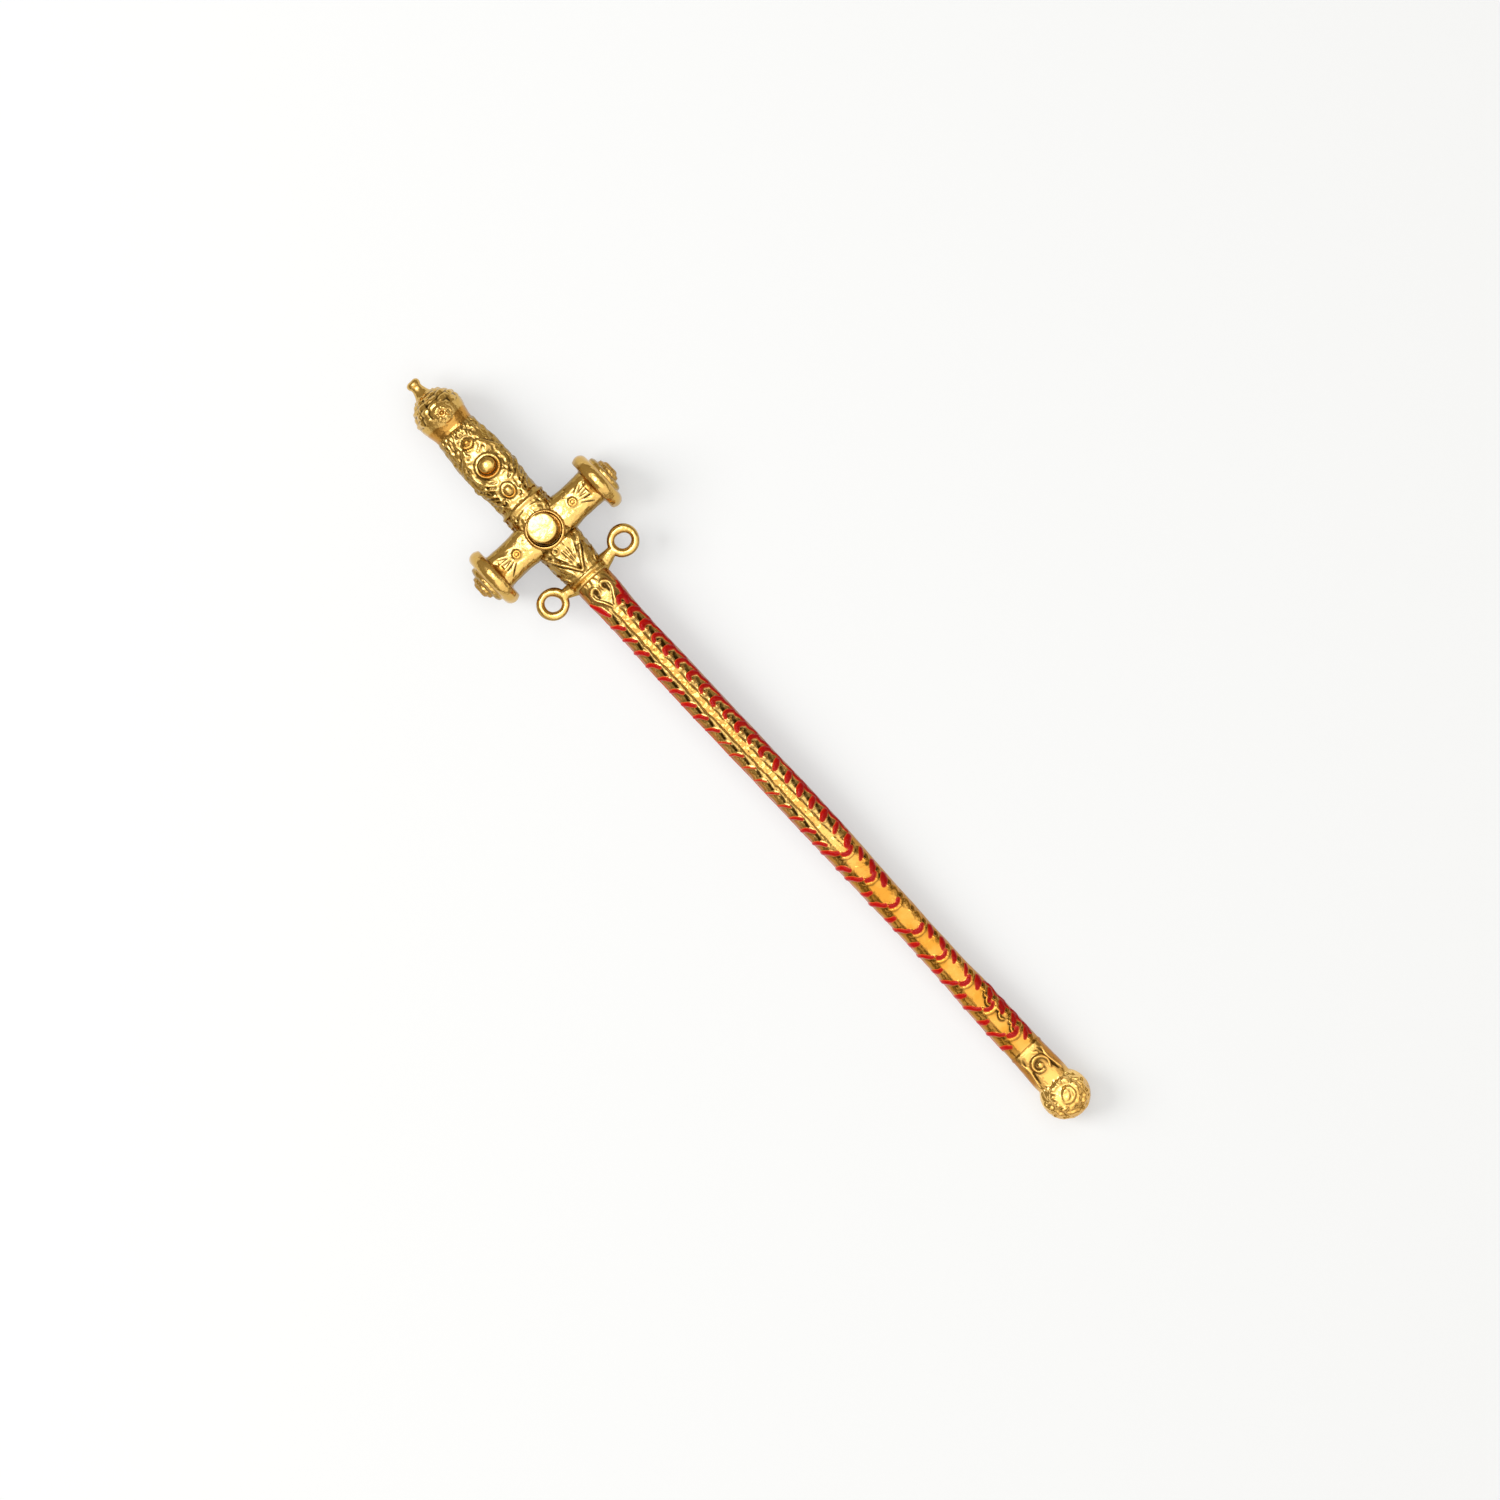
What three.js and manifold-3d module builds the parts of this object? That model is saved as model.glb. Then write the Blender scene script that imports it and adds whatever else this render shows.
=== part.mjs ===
// A miniature of a ceremonial sword in its scabbard, cast in one piece and gilded.
// It is made along +X from the pommel's peg to the tip, with its front up along +Z, in millimetres.
// Then it is laid down on its two guard caps and its tip medallion, each with a small flat.
import * as THREE from "three";
import { mergeVertices } from "three/addons/utils/BufferGeometryUtils.js";
import Module from "manifold-3d";

const wasm = await Module();
wasm.setup();

// Lengths along the sword, in their order from the peg
const pegLength = 1.75;
const pommelDiameter = 5.25;
const pommelBandLength = 1.2;
const gripLength = 9.8;
const blockLength = 5.9;
const throatLength = 3.7;
const locketLength = 2.7;
const scabbardLength = 61.9;
const chapeLength = 5.8;

// Widths across the front, and depths from front to back
const pegDiameter = 1.4;
const neckWidth = 4.45;
const neckDepth = 4.3;
const gripEndWidth = 4.68;
const gripSwellWidth = 5.28;
const gripDepth = 4.4;
const blockWidth = 5.0;
const blockDepth = 4.7;
const throatEndWidth = 4.4;
const throatEndDepth = 3.9;
const locketWidth = 4.1;
const locketDepth = 3.5;
const scabbardWidth = 3.8;
const scabbardWaistWidth = 3.26;
const scabbardDepth = 3.2;

// Cross guard, which the casting holds a little askew
const guardSpan = 18.3;
const armWidth = 3.85;
const armDepth = 3.5;
const armFlare = 0.35;
const capDiameter = 6.5;
const capRimThickness = 1.75;
const capDomeDiameter = 4.2;
const capDomeHeight = 1.2;
const guardSkew = 0.7;

// Boss, set stones and the plain pad on the back
const bossDiameter = 3.0;
const bossHeight = 1.0;
const bossBezel = 0.42;
const stoneHeight = 0.5;
const stoneRim = 0.36;
const backPadDiameter = 3.2;
const backPadHeight = 0.3;

// Hanging loops and the doubled bar between them
const loopHole = 1.7;
const loopWire = 0.78;
const loopSpread = 9.5;
const hangerBarWire = 0.45;

// Bands round the body
const bandHeight = 0.17;
const blockBand = 0.4;
const seamLength = 0.3;

// Relief strokes
const lockHeight = 0.17;
const scrollPitch = 1.747;
const scrollHeight = 0.18;
const scrollWidth = 0.48;
const midribLength = 35;
const midribHeight = 0.2;

// Tip medallion, a flattened ball with a rosette on its face
const tipDiameter = 5.15;
const tipDepth = 4.2;

// How far the lower scabbard stands to the side of the hilt, and how deep the resting flats are cut
const castingBow = 0.32;
const restingFlat = 0.16;

// Stations along the sword
const pommelX = pegLength + pommelDiameter / 2;
const bandX = pommelX + pommelDiameter * 0.2;
const gripX = bandX + pommelBandLength;
const blockX = gripX + gripLength;
const throatX = blockX + blockLength;
const hangerX = throatX + throatLength;
const locketX = hangerX + 2 * hangerBarWire;
const scabbardX = locketX + locketLength;
const chapeX = scabbardX + scabbardLength;
const tipX = chapeX + chapeLength;
const guardX = blockX + blockLength * 0.61;
const loopX = hangerX + hangerBarWire;

const degrees = Math.PI / 180;
const mix = THREE.MathUtils.lerp;
const clamp = THREE.MathUtils.clamp;
const at = (x, y, z) => new THREE.Vector3(x, y, z);

// The cast body is a stack of rounded cross-sections, each with its own width and depth.
const sections = [];
const section = (x, width, depth, rib = 0) => sections.push({ x, width, depth, rib });
// A half-round band round the body stands out of it by its height.
function band(x, length, height, width, depth) {
  for (const [t, rise] of [[-0.5, 0], [-0.4, 0.8], [0, 1], [0.4, 0.8], [0.5, 0]])
    section(x + t * length, width + 2 * rise * height, depth + 2 * rise * height);
}

section(bandX - pommelBandLength * 0.3, neckWidth * 0.9, neckDepth * 0.9);
section(bandX, neckWidth * 1.08, neckDepth * 1.08);
section(gripX - pommelBandLength * 0.15, neckWidth, neckDepth);
const gripSteps = 6;
for (let i = 0; i <= gripSteps; i++) {
  const swell = (gripSwellWidth - gripEndWidth) * Math.sin((Math.PI * i) / gripSteps);
  section(gripX + (gripLength * i) / gripSteps, gripEndWidth + swell, gripDepth + swell * 0.6);
}
band(blockX + blockBand, blockBand, bandHeight, blockWidth, blockDepth);
section(throatX, blockWidth, blockDepth);
for (const i of [0, 1])
  band(hangerX + hangerBarWire * (0.5 + i), hangerBarWire * 0.98, bandHeight, throatEndWidth, throatEndDepth);
section(locketX, locketWidth, locketDepth);
section(scabbardX - locketLength * 0.3, locketWidth, locketDepth);
const scabbardSteps = 9;
const waistPlace = 0.76;
const waistReach = 0.3;
for (let i = 0; i <= scabbardSteps; i++) {
  const t = i / scabbardSteps;
  const near = clamp((t - waistPlace) / waistReach, -1, 1);
  const waist = ((scabbardWidth - scabbardWaistWidth) * (1 + Math.cos(Math.PI * near))) / 2;
  const width = scabbardWidth - waist;
  const rib = i > 0 && scabbardLength * t < midribLength ? midribHeight : 0;
  const x = scabbardX + (scabbardLength - seamLength) * t;
  section(x, width, (width * scabbardDepth) / scabbardWidth, rib);
}
band(chapeX - seamLength / 2, seamLength * 0.98, bandHeight * 0.6, scabbardWidth, scabbardDepth);
section(tipX - tipDiameter * 0.42, scabbardWidth * 1.04, scabbardDepth * 1.04);
section(tipX, scabbardWidth * 0.9, scabbardDepth * 0.9);

// The sideways offset of the body's centre line eases over from the hilt to the lower scabbard.
const sideways = (x) => {
  const [from, to] = [0.13, 0.56].map((t) => scabbardX + scabbardLength * t);
  return castingBow * (THREE.MathUtils.smoothstep(x, from, to) - 0.4);
};

// Corners of each cross-section, as angles from the front round to the back, closer on the front
const cornerAngles = [0, 22, 50, 90, 125, 155, 180];
const squareness = 2.3;
const squared = (v) => Math.sign(v) * Math.abs(v) ** (2 / squareness);
function corner({ x, width, depth, rib }, angle) {
  const y = (width / 2) * squared(Math.sin(angle * degrees));
  const z = (depth / 2) * squared(Math.cos(angle * degrees)) + (angle === 0 ? rib : 0);
  return at(x, y + sideways(x), z);
}

// A point on the body's skin at a length and an angle: 0 is the front and 90 degrees the +Y edge.
function skin(x, angle) {
  let i = 1;
  while (i < sections.length - 1 && sections[i].x < x) i++;
  let k = 1;
  while (k < cornerAngles.length - 1 && cornerAngles[k] < Math.abs(angle)) k++;
  const side = Math.sign(angle) || 1;
  const [from, to] = [cornerAngles[k - 1], cornerAngles[k]];
  const turn = (Math.abs(angle) - from) / (to - from);
  const [near, far] = [sections[i - 1], sections[i]].map((ring) =>
    corner(ring, side * from).lerp(corner(ring, side * to), turn),
  );
  return near.lerp(far, clamp((x - near.x) / (far.x - near.x), 0, 1));
}

// The same skin seen from the front, with y measured across from the body's centre line.
function front(x, y) {
  let [low, high] = [-88, 88];
  for (let i = 0; i < 18; i++) {
    const middle = (low + high) / 2;
    if (skin(x, middle).y - sideways(x) < y) low = middle;
    else high = middle;
  }
  return skin(x, (low + high) / 2);
}

const tipCentre = at(tipX, sideways(tipX), 0);

// A closed three.js geometry becomes a solid, with each of its vertices moved by place.
function solid(geometry, place = (v) => v) {
  const bare = geometry.index ? geometry.toNonIndexed() : geometry.clone();
  bare.deleteAttribute("normal");
  bare.deleteAttribute("uv");
  const merged = mergeVertices(bare, 1e-4);
  const corners = merged.getAttribute("position");
  const moved = [];
  for (let i = 0; i < corners.count; i++)
    moved.push(...place(new THREE.Vector3().fromBufferAttribute(corners, i)).toArray());
  const triangles = [];
  for (let i = 0; i < merged.index.count; i += 3) {
    const [a, b, c] = [0, 1, 2].map((k) => merged.index.getX(i + k));
    if (a !== b && b !== c && c !== a) triangles.push(a, b, c);
  }
  return new wasm.Manifold(
    new wasm.Mesh({
      numProp: 3,
      vertProperties: new Float32Array(moved),
      triVerts: new Uint32Array(triangles),
    }),
  );
}

function geometryOf(made) {
  const { vertProperties, triVerts } = made.getMesh();
  const geometry = new THREE.BufferGeometry();
  geometry.setAttribute("position", new THREE.BufferAttribute(new Float32Array(vertProperties), 3));
  geometry.setIndex(new THREE.BufferAttribute(new Uint32Array(triVerts), 1));
  return geometry;
}

// The outward normal of a surface at two of its coordinates
function outward(surface, u, v) {
  const d = 0.02;
  const alongU = surface(u + d, v).sub(surface(u - d, v));
  const alongV = surface(u, v + d).sub(surface(u, v - d));
  return alongU.cross(alongV).normalize();
}

// A raised stroke: a three-sided drop bent along a path on a surface, with its base sunk in it.
function stroke(surface, path, width, height, { along = 3, taper = 0, blunt = 0.6 } = {}) {
  const route = new THREE.SplineCurve(path.map(([u, v]) => new THREE.Vector2(u, v)));
  const point = (t) => surface(...route.getPoint(clamp(t, 0, 1)).toArray());
  const ridge = new THREE.SphereGeometry(1, 3, along, Math.PI / 2);
  return solid(ridge, (v) => {
    const t = 1 - Math.acos(clamp(v.y, -1, 1)) / Math.PI;
    const tangent = point(t + 0.02).sub(point(t - 0.02)).normalize();
    const normal = outward(surface, ...route.getPoint(t).toArray());
    const lateral = tangent.clone().cross(normal).normalize();
    const lift = lateral.clone().cross(tangent);
    const swell = (Math.sin(Math.PI * t) ** blunt * (1 - taper * t)) / (Math.hypot(v.x, v.z) || 1);
    return point(t)
      .addScaledVector(lateral, v.x * swell * width * 0.87)
      .addScaledVector(lift, v.z * swell * height);
  });
}

// A wire ring lying on a surface round the centre u, v
function ringOn(surface, [u, v], [ru, rv], wire, around = 18) {
  return solid(new THREE.TorusGeometry(1, 0.5, 4, around), (p) => {
    const turn = Math.atan2(p.y, p.x);
    const outside = (Math.hypot(p.x, p.y) - 1) * wire;
    const middle = surface(u + ru * Math.cos(turn), v + rv * Math.sin(turn));
    return middle.add(at(outside * Math.cos(turn), outside * Math.sin(turn), p.z * wire));
  });
}

// A solid turned about the Z axis, for a profile of radius and height pairs from bottom to top
const turned = (profile, around, place) =>
  solid(
    new THREE.LatheGeometry(profile.map(([r, h]) => new THREE.Vector2(r, h)), around),
    (v) => place(at(v.x, -v.z, v.y)),
  );

// A stone or stud in a raised rim, standing on a collet that goes down into the body
function setting([x, y], [rx, ry], height, rim, around) {
  const foot = front(x, y);
  const groove = 1 - rim * 0.2;
  const profile = [
    [0, -0.9],
    [1 + rim, -0.9],
    [1 + rim, rim * 0.15],
    [1 + rim * 0.6, rim * 0.5],
    [groove, 0],
    [groove * 0.94, height * 0.6],
    [groove * 0.7, height * 0.93],
    [0, height * 1.05],
  ];
  return turned(profile, around, (v) => at(v.x * rx, v.y * ry, v.z).add(foot));
}

// Points given along and across, moved along to x and mirrored across for the other side
const placed = (points, x, side) => points.map(([along, across]) => [x + along, side * across]);

const parts = [];
const add = (...pieces) => parts.push(...pieces);
const bothSides = [1, -1];

// Body: a cylinder whose rings take the corners of the sections
const sidesRound = 2 * (cornerAngles.length - 1);
add(
  solid(new THREE.CylinderGeometry(1, 1, 1, sidesRound, sections.length - 1), (v) => {
    const ring = sections[Math.round((v.y + 0.5) * (sections.length - 1))];
    if (Math.hypot(v.x, v.z) < 0.5) return at(ring.x, sideways(ring.x), 0);
    const k = Math.round((Math.atan2(v.z, v.x) / (2 * Math.PI)) * sidesRound);
    return corner(ring, Math.sign(k) * cornerAngles[Math.abs(k)]);
  }),
);

// Pommel: a ball with rows of overlapping leaves on the part towards the peg
const leavesRound = 8;
const leafRow = 30 * degrees;
const leafRows = 4;
const leafDepth = 0.17;
add(
  solid(new THREE.SphereGeometry(1, leavesRound * 3, 12), (v) => {
    const fromPeg = Math.acos(clamp(v.y, -1, 1));
    const row = Math.floor(fromPeg / leafRow);
    const turn = Math.atan2(v.z, v.x) + (row * Math.PI) / leavesRound;
    const alongRow = Math.sin(Math.PI * (fromPeg / leafRow - row));
    const leaf = Math.abs(Math.cos((turn * leavesRound) / 2)) * alongRow;
    const carved = row < leafRows ? leafDepth * (leaf - 0.6) : 0;
    return at(-v.y, -v.z, v.x)
      .multiplyScalar(pommelDiameter / 2 + carved)
      .add(at(pommelX, sideways(pommelX), 0));
  }),
);
const pommelFront = at(pommelX, sideways(pommelX), pommelDiameter / 2);
const rosette = [[0, -0.5], [0.75, -0.5], [0.75, 0], [0.6, 0.14], [0.4, 0], [0.3, 0.12], [0, 0.2]];
add(turned(rosette, 10, (v) => v.add(pommelFront)));

// Peg, with a rounded end and a small mound at its foot
const pegEnd = [[0, 0], [0.36, 0.05], [0.48, 0.2], [0.5, 0.35], [0.45, 0.55]];
const pegFoot = [[0.45, 0.78], [0.64, 1], [0.7, 1.6], [0, 1.6]];
const pegOutline = [...pegEnd, ...pegFoot].map(([r, x]) => [r * pegDiameter, x * pegLength]);
add(turned(pegOutline, 12, (v) => at(v.z, v.x + sideways(pommelX), v.y)));

// Grip: three set stones in a row, with the largest in the middle
const stones = [
  { along: 0.185, size: [0.55, 0.5] },
  { along: 0.5, size: [0.9, 0.85] },
  { along: 0.83, size: [0.6, 0.38] },
];
for (const { along, size } of stones)
  add(setting([gripX + gripLength * along, 0], size, stoneHeight * size[0], stoneRim, 12));

// Grip: small leaves at the pommel end, then locks that sweep round the middle stone
const stoneX = gripX + gripLength * stones[1].along;
for (const [row, angles] of [[-52, -26, 0, 26, 52], [-62, -38, 38, 62]].entries())
  for (const angle of angles) {
    const x = gripX + 0.5 + row * 0.85;
    add(stroke(skin, [[x - 0.35, angle], [x + 0.45, angle * 1.08]], 0.6, lockHeight));
  }
const lockRadii = [1.75, 2.2, 2.65, 3.1];
for (const side of bothSides) {
  for (const radius of lockRadii) {
    const sweep = [96, 62, 28].map((angle) => {
      const [c, s] = [Math.cos(angle * degrees), Math.sin(angle * degrees)];
      return [stoneX + radius * c, side * Math.min(radius * s * 0.85, gripEndWidth * 0.47)];
    });
    add(stroke(front, sweep, 0.34, lockHeight));
  }
  // A sprig before the middle stone and a small volute beside the third one
  add(stroke(front, placed([[-2.5, 0.9], [-1.6, 1.5], [-0.5, 1.75]], stoneX, side), 0.42, lockHeight));
  add(stroke(front, placed([[-2.1, 0.35], [-1.6, 1]], stoneX, side), 0.4, lockHeight));
  const curl = [[-1.6, 1.75], [-0.75, 1.65], [-0.6, 1.0], [-1.1, 0.95]];
  add(stroke(front, placed(curl, blockX, side), 0.3, lockHeight, { along: 5 }));
}

// Guard block: beads at both edges of its end towards the grip
for (const side of bothSides)
  for (let i = 0; i < 3; i++)
    add(stroke(skin, placed([[0.8, 46], [1.1, 64]], blockX + i * 0.55, side), 0.46, lockHeight));

// Cross guard: both arms in one bar with a flatter front, and a capped disc at each end
const askew = (v) =>
  v.applyAxisAngle(at(0, 0, 1), guardSkew * degrees).add(at(guardX, sideways(guardX), 0));
const armReach = guardSpan / 2 - capDomeHeight - capRimThickness / 2;
const armFlat = 2.6;
add(
  solid(new THREE.CylinderGeometry(1, 1, 1, 14, 6), (v) => {
    const y = v.y * 2 * armReach;
    const flare = armFlare * Math.exp(-(((Math.abs(y) - blockWidth / 2) / 0.5) ** 2));
    const turn = Math.atan2(v.z, v.x);
    const bend = (c) => Math.sign(c) * Math.abs(c) ** (2 / armFlat);
    const reach = Math.hypot(v.x, v.z) < 0.5 ? 0 : 1;
    const x = reach * (armWidth / 2 + flare) * bend(Math.cos(turn));
    const z = reach * (armDepth / 2 + flare) * bend(Math.sin(turn));
    return askew(at(x, y, z));
  }),
);
const capRadius = capDiameter / 2;
const bead = capRimThickness / 2;
const capOutline = [[0, -bead * 1.6], [armWidth * 0.56, -bead * 1.6], [armWidth * 0.6, -bead * 1.05]];
for (const angle of [-65, -20, 25, 75])
  capOutline.push([
    capRadius - bead + bead * Math.cos(angle * degrees),
    bead * Math.sin(angle * degrees),
  ]);
const domeFoot = [[1, 0], [0.98, 0.22], [0.72, 0.42]];
const domeSteps = [...domeFoot, [0.62, 0.46], [0.6, 0.7], [0.46, 0.8], [0.4, 1], [0, 1.02]];
for (const [r, h] of domeSteps) capOutline.push([(r * capDomeDiameter) / 2, bead + h * capDomeHeight]);
const capY = guardSpan / 2 - capDomeHeight - bead;
for (const side of bothSides)
  add(turned(capOutline, 16, (v) => askew(at(-side * v.x, side * (capY + v.z), v.y))));

// Arm ornament: a small ring with leaf strokes fanning out of it
const armTop = (x, y) => {
  const across = clamp((2 * (x - guardX)) / armWidth, -1, 1);
  return at(x, y, (armDepth / 2) * (1 - Math.abs(across) ** armFlat) ** (1 / armFlat));
};
for (const side of bothSides) {
  const y = side * (blockWidth / 2 + 1.35);
  const x = guardX - side * 0.12;
  add(ringOn(armTop, [x, y], [0.32, 0.32], 0.26, 8));
  for (const lean of [-1, 0, 1]) {
    const leaf = [[x + lean * 0.4, y + side * 0.6], [x + lean * 0.75, y + side * 2.2]];
    add(stroke(armTop, leaf, 0.34, lockHeight, { taper: 0.4 }));
  }
}

// Boss on the front of the block, and a low plain pad behind it
const bossRadius = bossDiameter / 2;
const bossProfile = [
  [0, -1.3],
  [bossRadius + bossBezel, -1.3],
  [bossRadius + bossBezel, 0.06],
  [bossRadius + bossBezel * 0.6, 0.22],
  [bossRadius + bossBezel * 0.1, 0.02],
  [bossRadius, bossHeight * 0.75],
  [bossRadius * 0.86, bossHeight * 0.97],
  [0, bossHeight],
];
add(turned(bossProfile, 16, (v) => v.add(front(guardX, -0.15))));
const padFoot = at(guardX, sideways(guardX), -blockDepth / 2);
const padRadius = backPadDiameter / 2;
const padOutline = [
  [0, -backPadHeight],
  [padRadius * 0.76, -backPadHeight],
  [padRadius, -backPadHeight * 0.4],
  [padRadius, 0.8],
  [0, 0.8],
];
add(turned(padOutline, 14, (v) => v.add(padFoot)));

// Throat: two ridges that meet in a point towards the tip, with a leaf between them
const ridgeEnd = hangerX - 0.45;
for (const side of bothSides) {
  const ridge = [[throatX - 0.2, side * 2.15], [mix(throatX, ridgeEnd, 0.55), side * 0.95], [ridgeEnd, 0]];
  add(stroke(front, ridge, 0.5, lockHeight * 1.4, { along: 4 }));
  const leaf = [[throatX + 0.1, side * 0.25], [throatX + 1.3, side * 0.5], [ridgeEnd - 0.6, side * 0.12]];
  add(stroke(front, leaf, 0.4, lockHeight));
}
add(ringOn(front, [throatX + 0.05, -0.75], [0.32, 0.3], 0.26, 8));

// Hanger: a cast loop on each side of the doubled bar
const loopRadius = (loopHole + loopWire) / 2;
const loopMiddle = 0.1;
const loopLift = 0.3;
for (const side of bothSides) {
  const centre = at(loopX, loopMiddle + (side * loopSpread) / 2, loopLift);
  add(solid(new THREE.TorusGeometry(loopRadius, loopWire / 2, 6, 16), (v) => v.add(centre)));
  const neckEnd = Math.abs(centre.y) - loopRadius;
  const neckStart = throatEndWidth / 2 - 0.6;
  const neck = [[0, neckStart], [0.8, neckStart], [0.42, neckEnd], [0, neckEnd]];
  add(turned(neck, 10, (v) => at(-side * v.x, side * v.z, v.y * 0.8 + loopLift).add(at(loopX, 0, 0))));
}

// Locket: a heart of two volutes that points along the scabbard
for (const side of bothSides) {
  const heart = [[-0.55, 0.12], [-0.95, 0.5], [-0.5, 0.92], [0.15, 0.82], [0.75, 0.42], [1.25, 0]];
  add(stroke(front, placed(heart, scabbardX - 0.35, side), 0.4, scrollHeight, { along: 6 }));
}

// Scabbard: a row of painted scrolls down each side
const scrollCount = Math.floor((scabbardLength - 1.6) / scrollPitch);
const hook = [[-0.4, 96], [-0.25, 55], [0, 26], [0.22, 10]];
const dash = [[0, 94], [0.75, 48], [1.1, 27]];
for (let i = 0; i <= scrollCount; i++) {
  const x = scabbardX + 1.15 + i * scrollPitch;
  add(stroke(skin, placed(hook, x, 1), scrollWidth, scrollHeight, { taper: -0.3 }));
  if (x < chapeX - 1.55) add(stroke(skin, placed(dash, x, -1), scrollWidth, scrollHeight));
}
// Crescents cross the front of the lower scabbard, each over two scrolls
const crescent = [[-0.35, 17], [0.1, 4], [0, -14], [-0.7, -36]];
for (let x = scabbardX + midribLength; x < chapeX - 1.5; x += 2.02 * scrollPitch)
  add(stroke(skin, placed(crescent, x, 1), scrollWidth, scrollHeight));
const firstLeaf = [[-0.4, 70], [0.7, 42], [1.3, 28]];
add(stroke(skin, placed(firstLeaf, scabbardX, -1), scrollWidth * 2, scrollHeight * 1.2));

// Chape: an open volute and a leaf line along each edge
const chapeMiddle = chapeX + 1.75;
const volute = [];
for (let angle = 50; angle <= 360; angle += 62) {
  const r = angle < 330 ? 0.82 : 0.45;
  volute.push([r * Math.cos(angle * degrees), r * Math.sin(angle * degrees)]);
}
add(stroke(front, placed(volute, chapeMiddle, 1), 0.42, scrollHeight, { along: 10 }));
const edgeLeaf = [[0.6, 1.35], [1.9, 1.15], [3.4, 1.3]];
for (const side of bothSides) add(stroke(front, placed(edgeLeaf, chapeX, side), 0.4, lockHeight));

// Tip medallion: a flattened ball with a rim, petals and a small boss on its face
const petals = 10;
const faceSteps = [
  { at: 0, relief: 0.12 },
  { at: 0.1, relief: 0.1 },
  { at: 0.17, relief: -0.08 },
  { at: 0.26, relief: -0.02, petal: 0.1 },
  { at: 0.46, relief: 0.02, petal: 0.12 },
  { at: 0.57, relief: -0.08 },
  { at: 0.64, relief: 0.1 },
  { at: 0.74, relief: 0 },
  { at: 0.88, relief: 0 },
  { at: 1, relief: 0 },
];
const flattened = (r) => (tipDepth / 2) * (1 - r ** squareness) ** (1 / squareness);
const backSteps = [0.88, 0.6, 0.3, 0];
const tipOutline = [
  ...backSteps.map((r) => [r, -flattened(r)]).reverse(),
  ...faceSteps.map((step) => [step.at, flattened(step.at) + step.relief]).reverse(),
];
add(
  turned(tipOutline, petals * 2, (v) => {
    const r = Math.hypot(v.x, v.y);
    const step = faceSteps.find((f) => f.petal && Math.abs(f.at - r) < 0.01 && v.z > 0);
    const lifted = step ? step.petal * Math.cos(Math.atan2(v.y, v.x) * petals) : 0;
    return at((v.x * tipDiameter) / 2, (v.y * tipDiameter) / 2, v.z + lifted).add(tipCentre);
  }),
);

// The casting lies down: it turns until the cap rims and the medallion touch one plane.
const lieAngle = Math.asin((capDiameter - tipDepth) / 2 / (tipX - guardX));
const casting = wasm.Manifold.union(parts);
const raw = geometryOf(casting);
const floor = guardX * Math.sin(lieAngle) + capDiameter / 2 - restingFlat;
raw.rotateY(lieAngle).translate(0, 0, floor);
raw.computeBoundingBox();
const box = raw.boundingBox;
raw.translate(-(box.min.x + box.max.x) / 2, -(box.min.y + box.max.y) / 2, 0);

// The floor cuts the three resting flats.
const slab = new THREE.BoxGeometry(200, 60, 10).translate(0, 0, -5);
const geometry = geometryOf(solid(raw).subtract(solid(slab)));
geometry.computeVertexNormals();

const gilt = new THREE.MeshStandardMaterial({ color: 0xe0b13a, roughness: 0.25, metalness: 1 });
const sword = new THREE.Mesh(geometry, gilt);
sword.name = "sword_in_scabbard";

const model = new THREE.Group();
model.add(sword);
export default model;
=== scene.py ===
# %% [markdown]
# # A gilded miniature sword in its scabbard
#
# This lesson dresses a small cast souvenir: a ceremonial sword in its scabbard, 100 mm long, cast in
# one piece of white metal, plated with gold, and painted with red enamel along the scabbard.
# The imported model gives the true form, and the finer carving is made here as mesh.
# All shapes are drawn in the sword's own frame, in millimetres, and laid down at the end.

# %% Load the frame
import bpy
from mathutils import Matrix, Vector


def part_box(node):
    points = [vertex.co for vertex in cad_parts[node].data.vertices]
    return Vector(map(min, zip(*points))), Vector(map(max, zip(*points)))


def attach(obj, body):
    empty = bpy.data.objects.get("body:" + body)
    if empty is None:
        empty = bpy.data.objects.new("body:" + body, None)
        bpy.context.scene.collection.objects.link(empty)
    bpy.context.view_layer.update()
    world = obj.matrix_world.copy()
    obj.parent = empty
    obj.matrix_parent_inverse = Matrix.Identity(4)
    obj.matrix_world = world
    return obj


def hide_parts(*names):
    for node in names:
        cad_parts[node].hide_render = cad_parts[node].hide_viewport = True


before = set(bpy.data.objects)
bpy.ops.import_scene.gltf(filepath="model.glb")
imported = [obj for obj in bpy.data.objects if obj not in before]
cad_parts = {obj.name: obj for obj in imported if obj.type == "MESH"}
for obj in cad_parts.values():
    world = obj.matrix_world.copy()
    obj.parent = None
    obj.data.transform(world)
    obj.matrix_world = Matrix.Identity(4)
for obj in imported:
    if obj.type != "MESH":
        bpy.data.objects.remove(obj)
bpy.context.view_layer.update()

import math

import bmesh
import bpy
import numpy as np
from mathutils import Vector

NODE = "sword_in_scabbard"

# %% [markdown]
# ## Where the sword lies
#
# The casting rests on its two guard caps and on the tip medallion, so it leans by less than a
# degree. The camera could be turned to match a photograph by eye. It is worked out instead: the
# photograph looks straight down, with the sword running from the upper left to the lower right.

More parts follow.
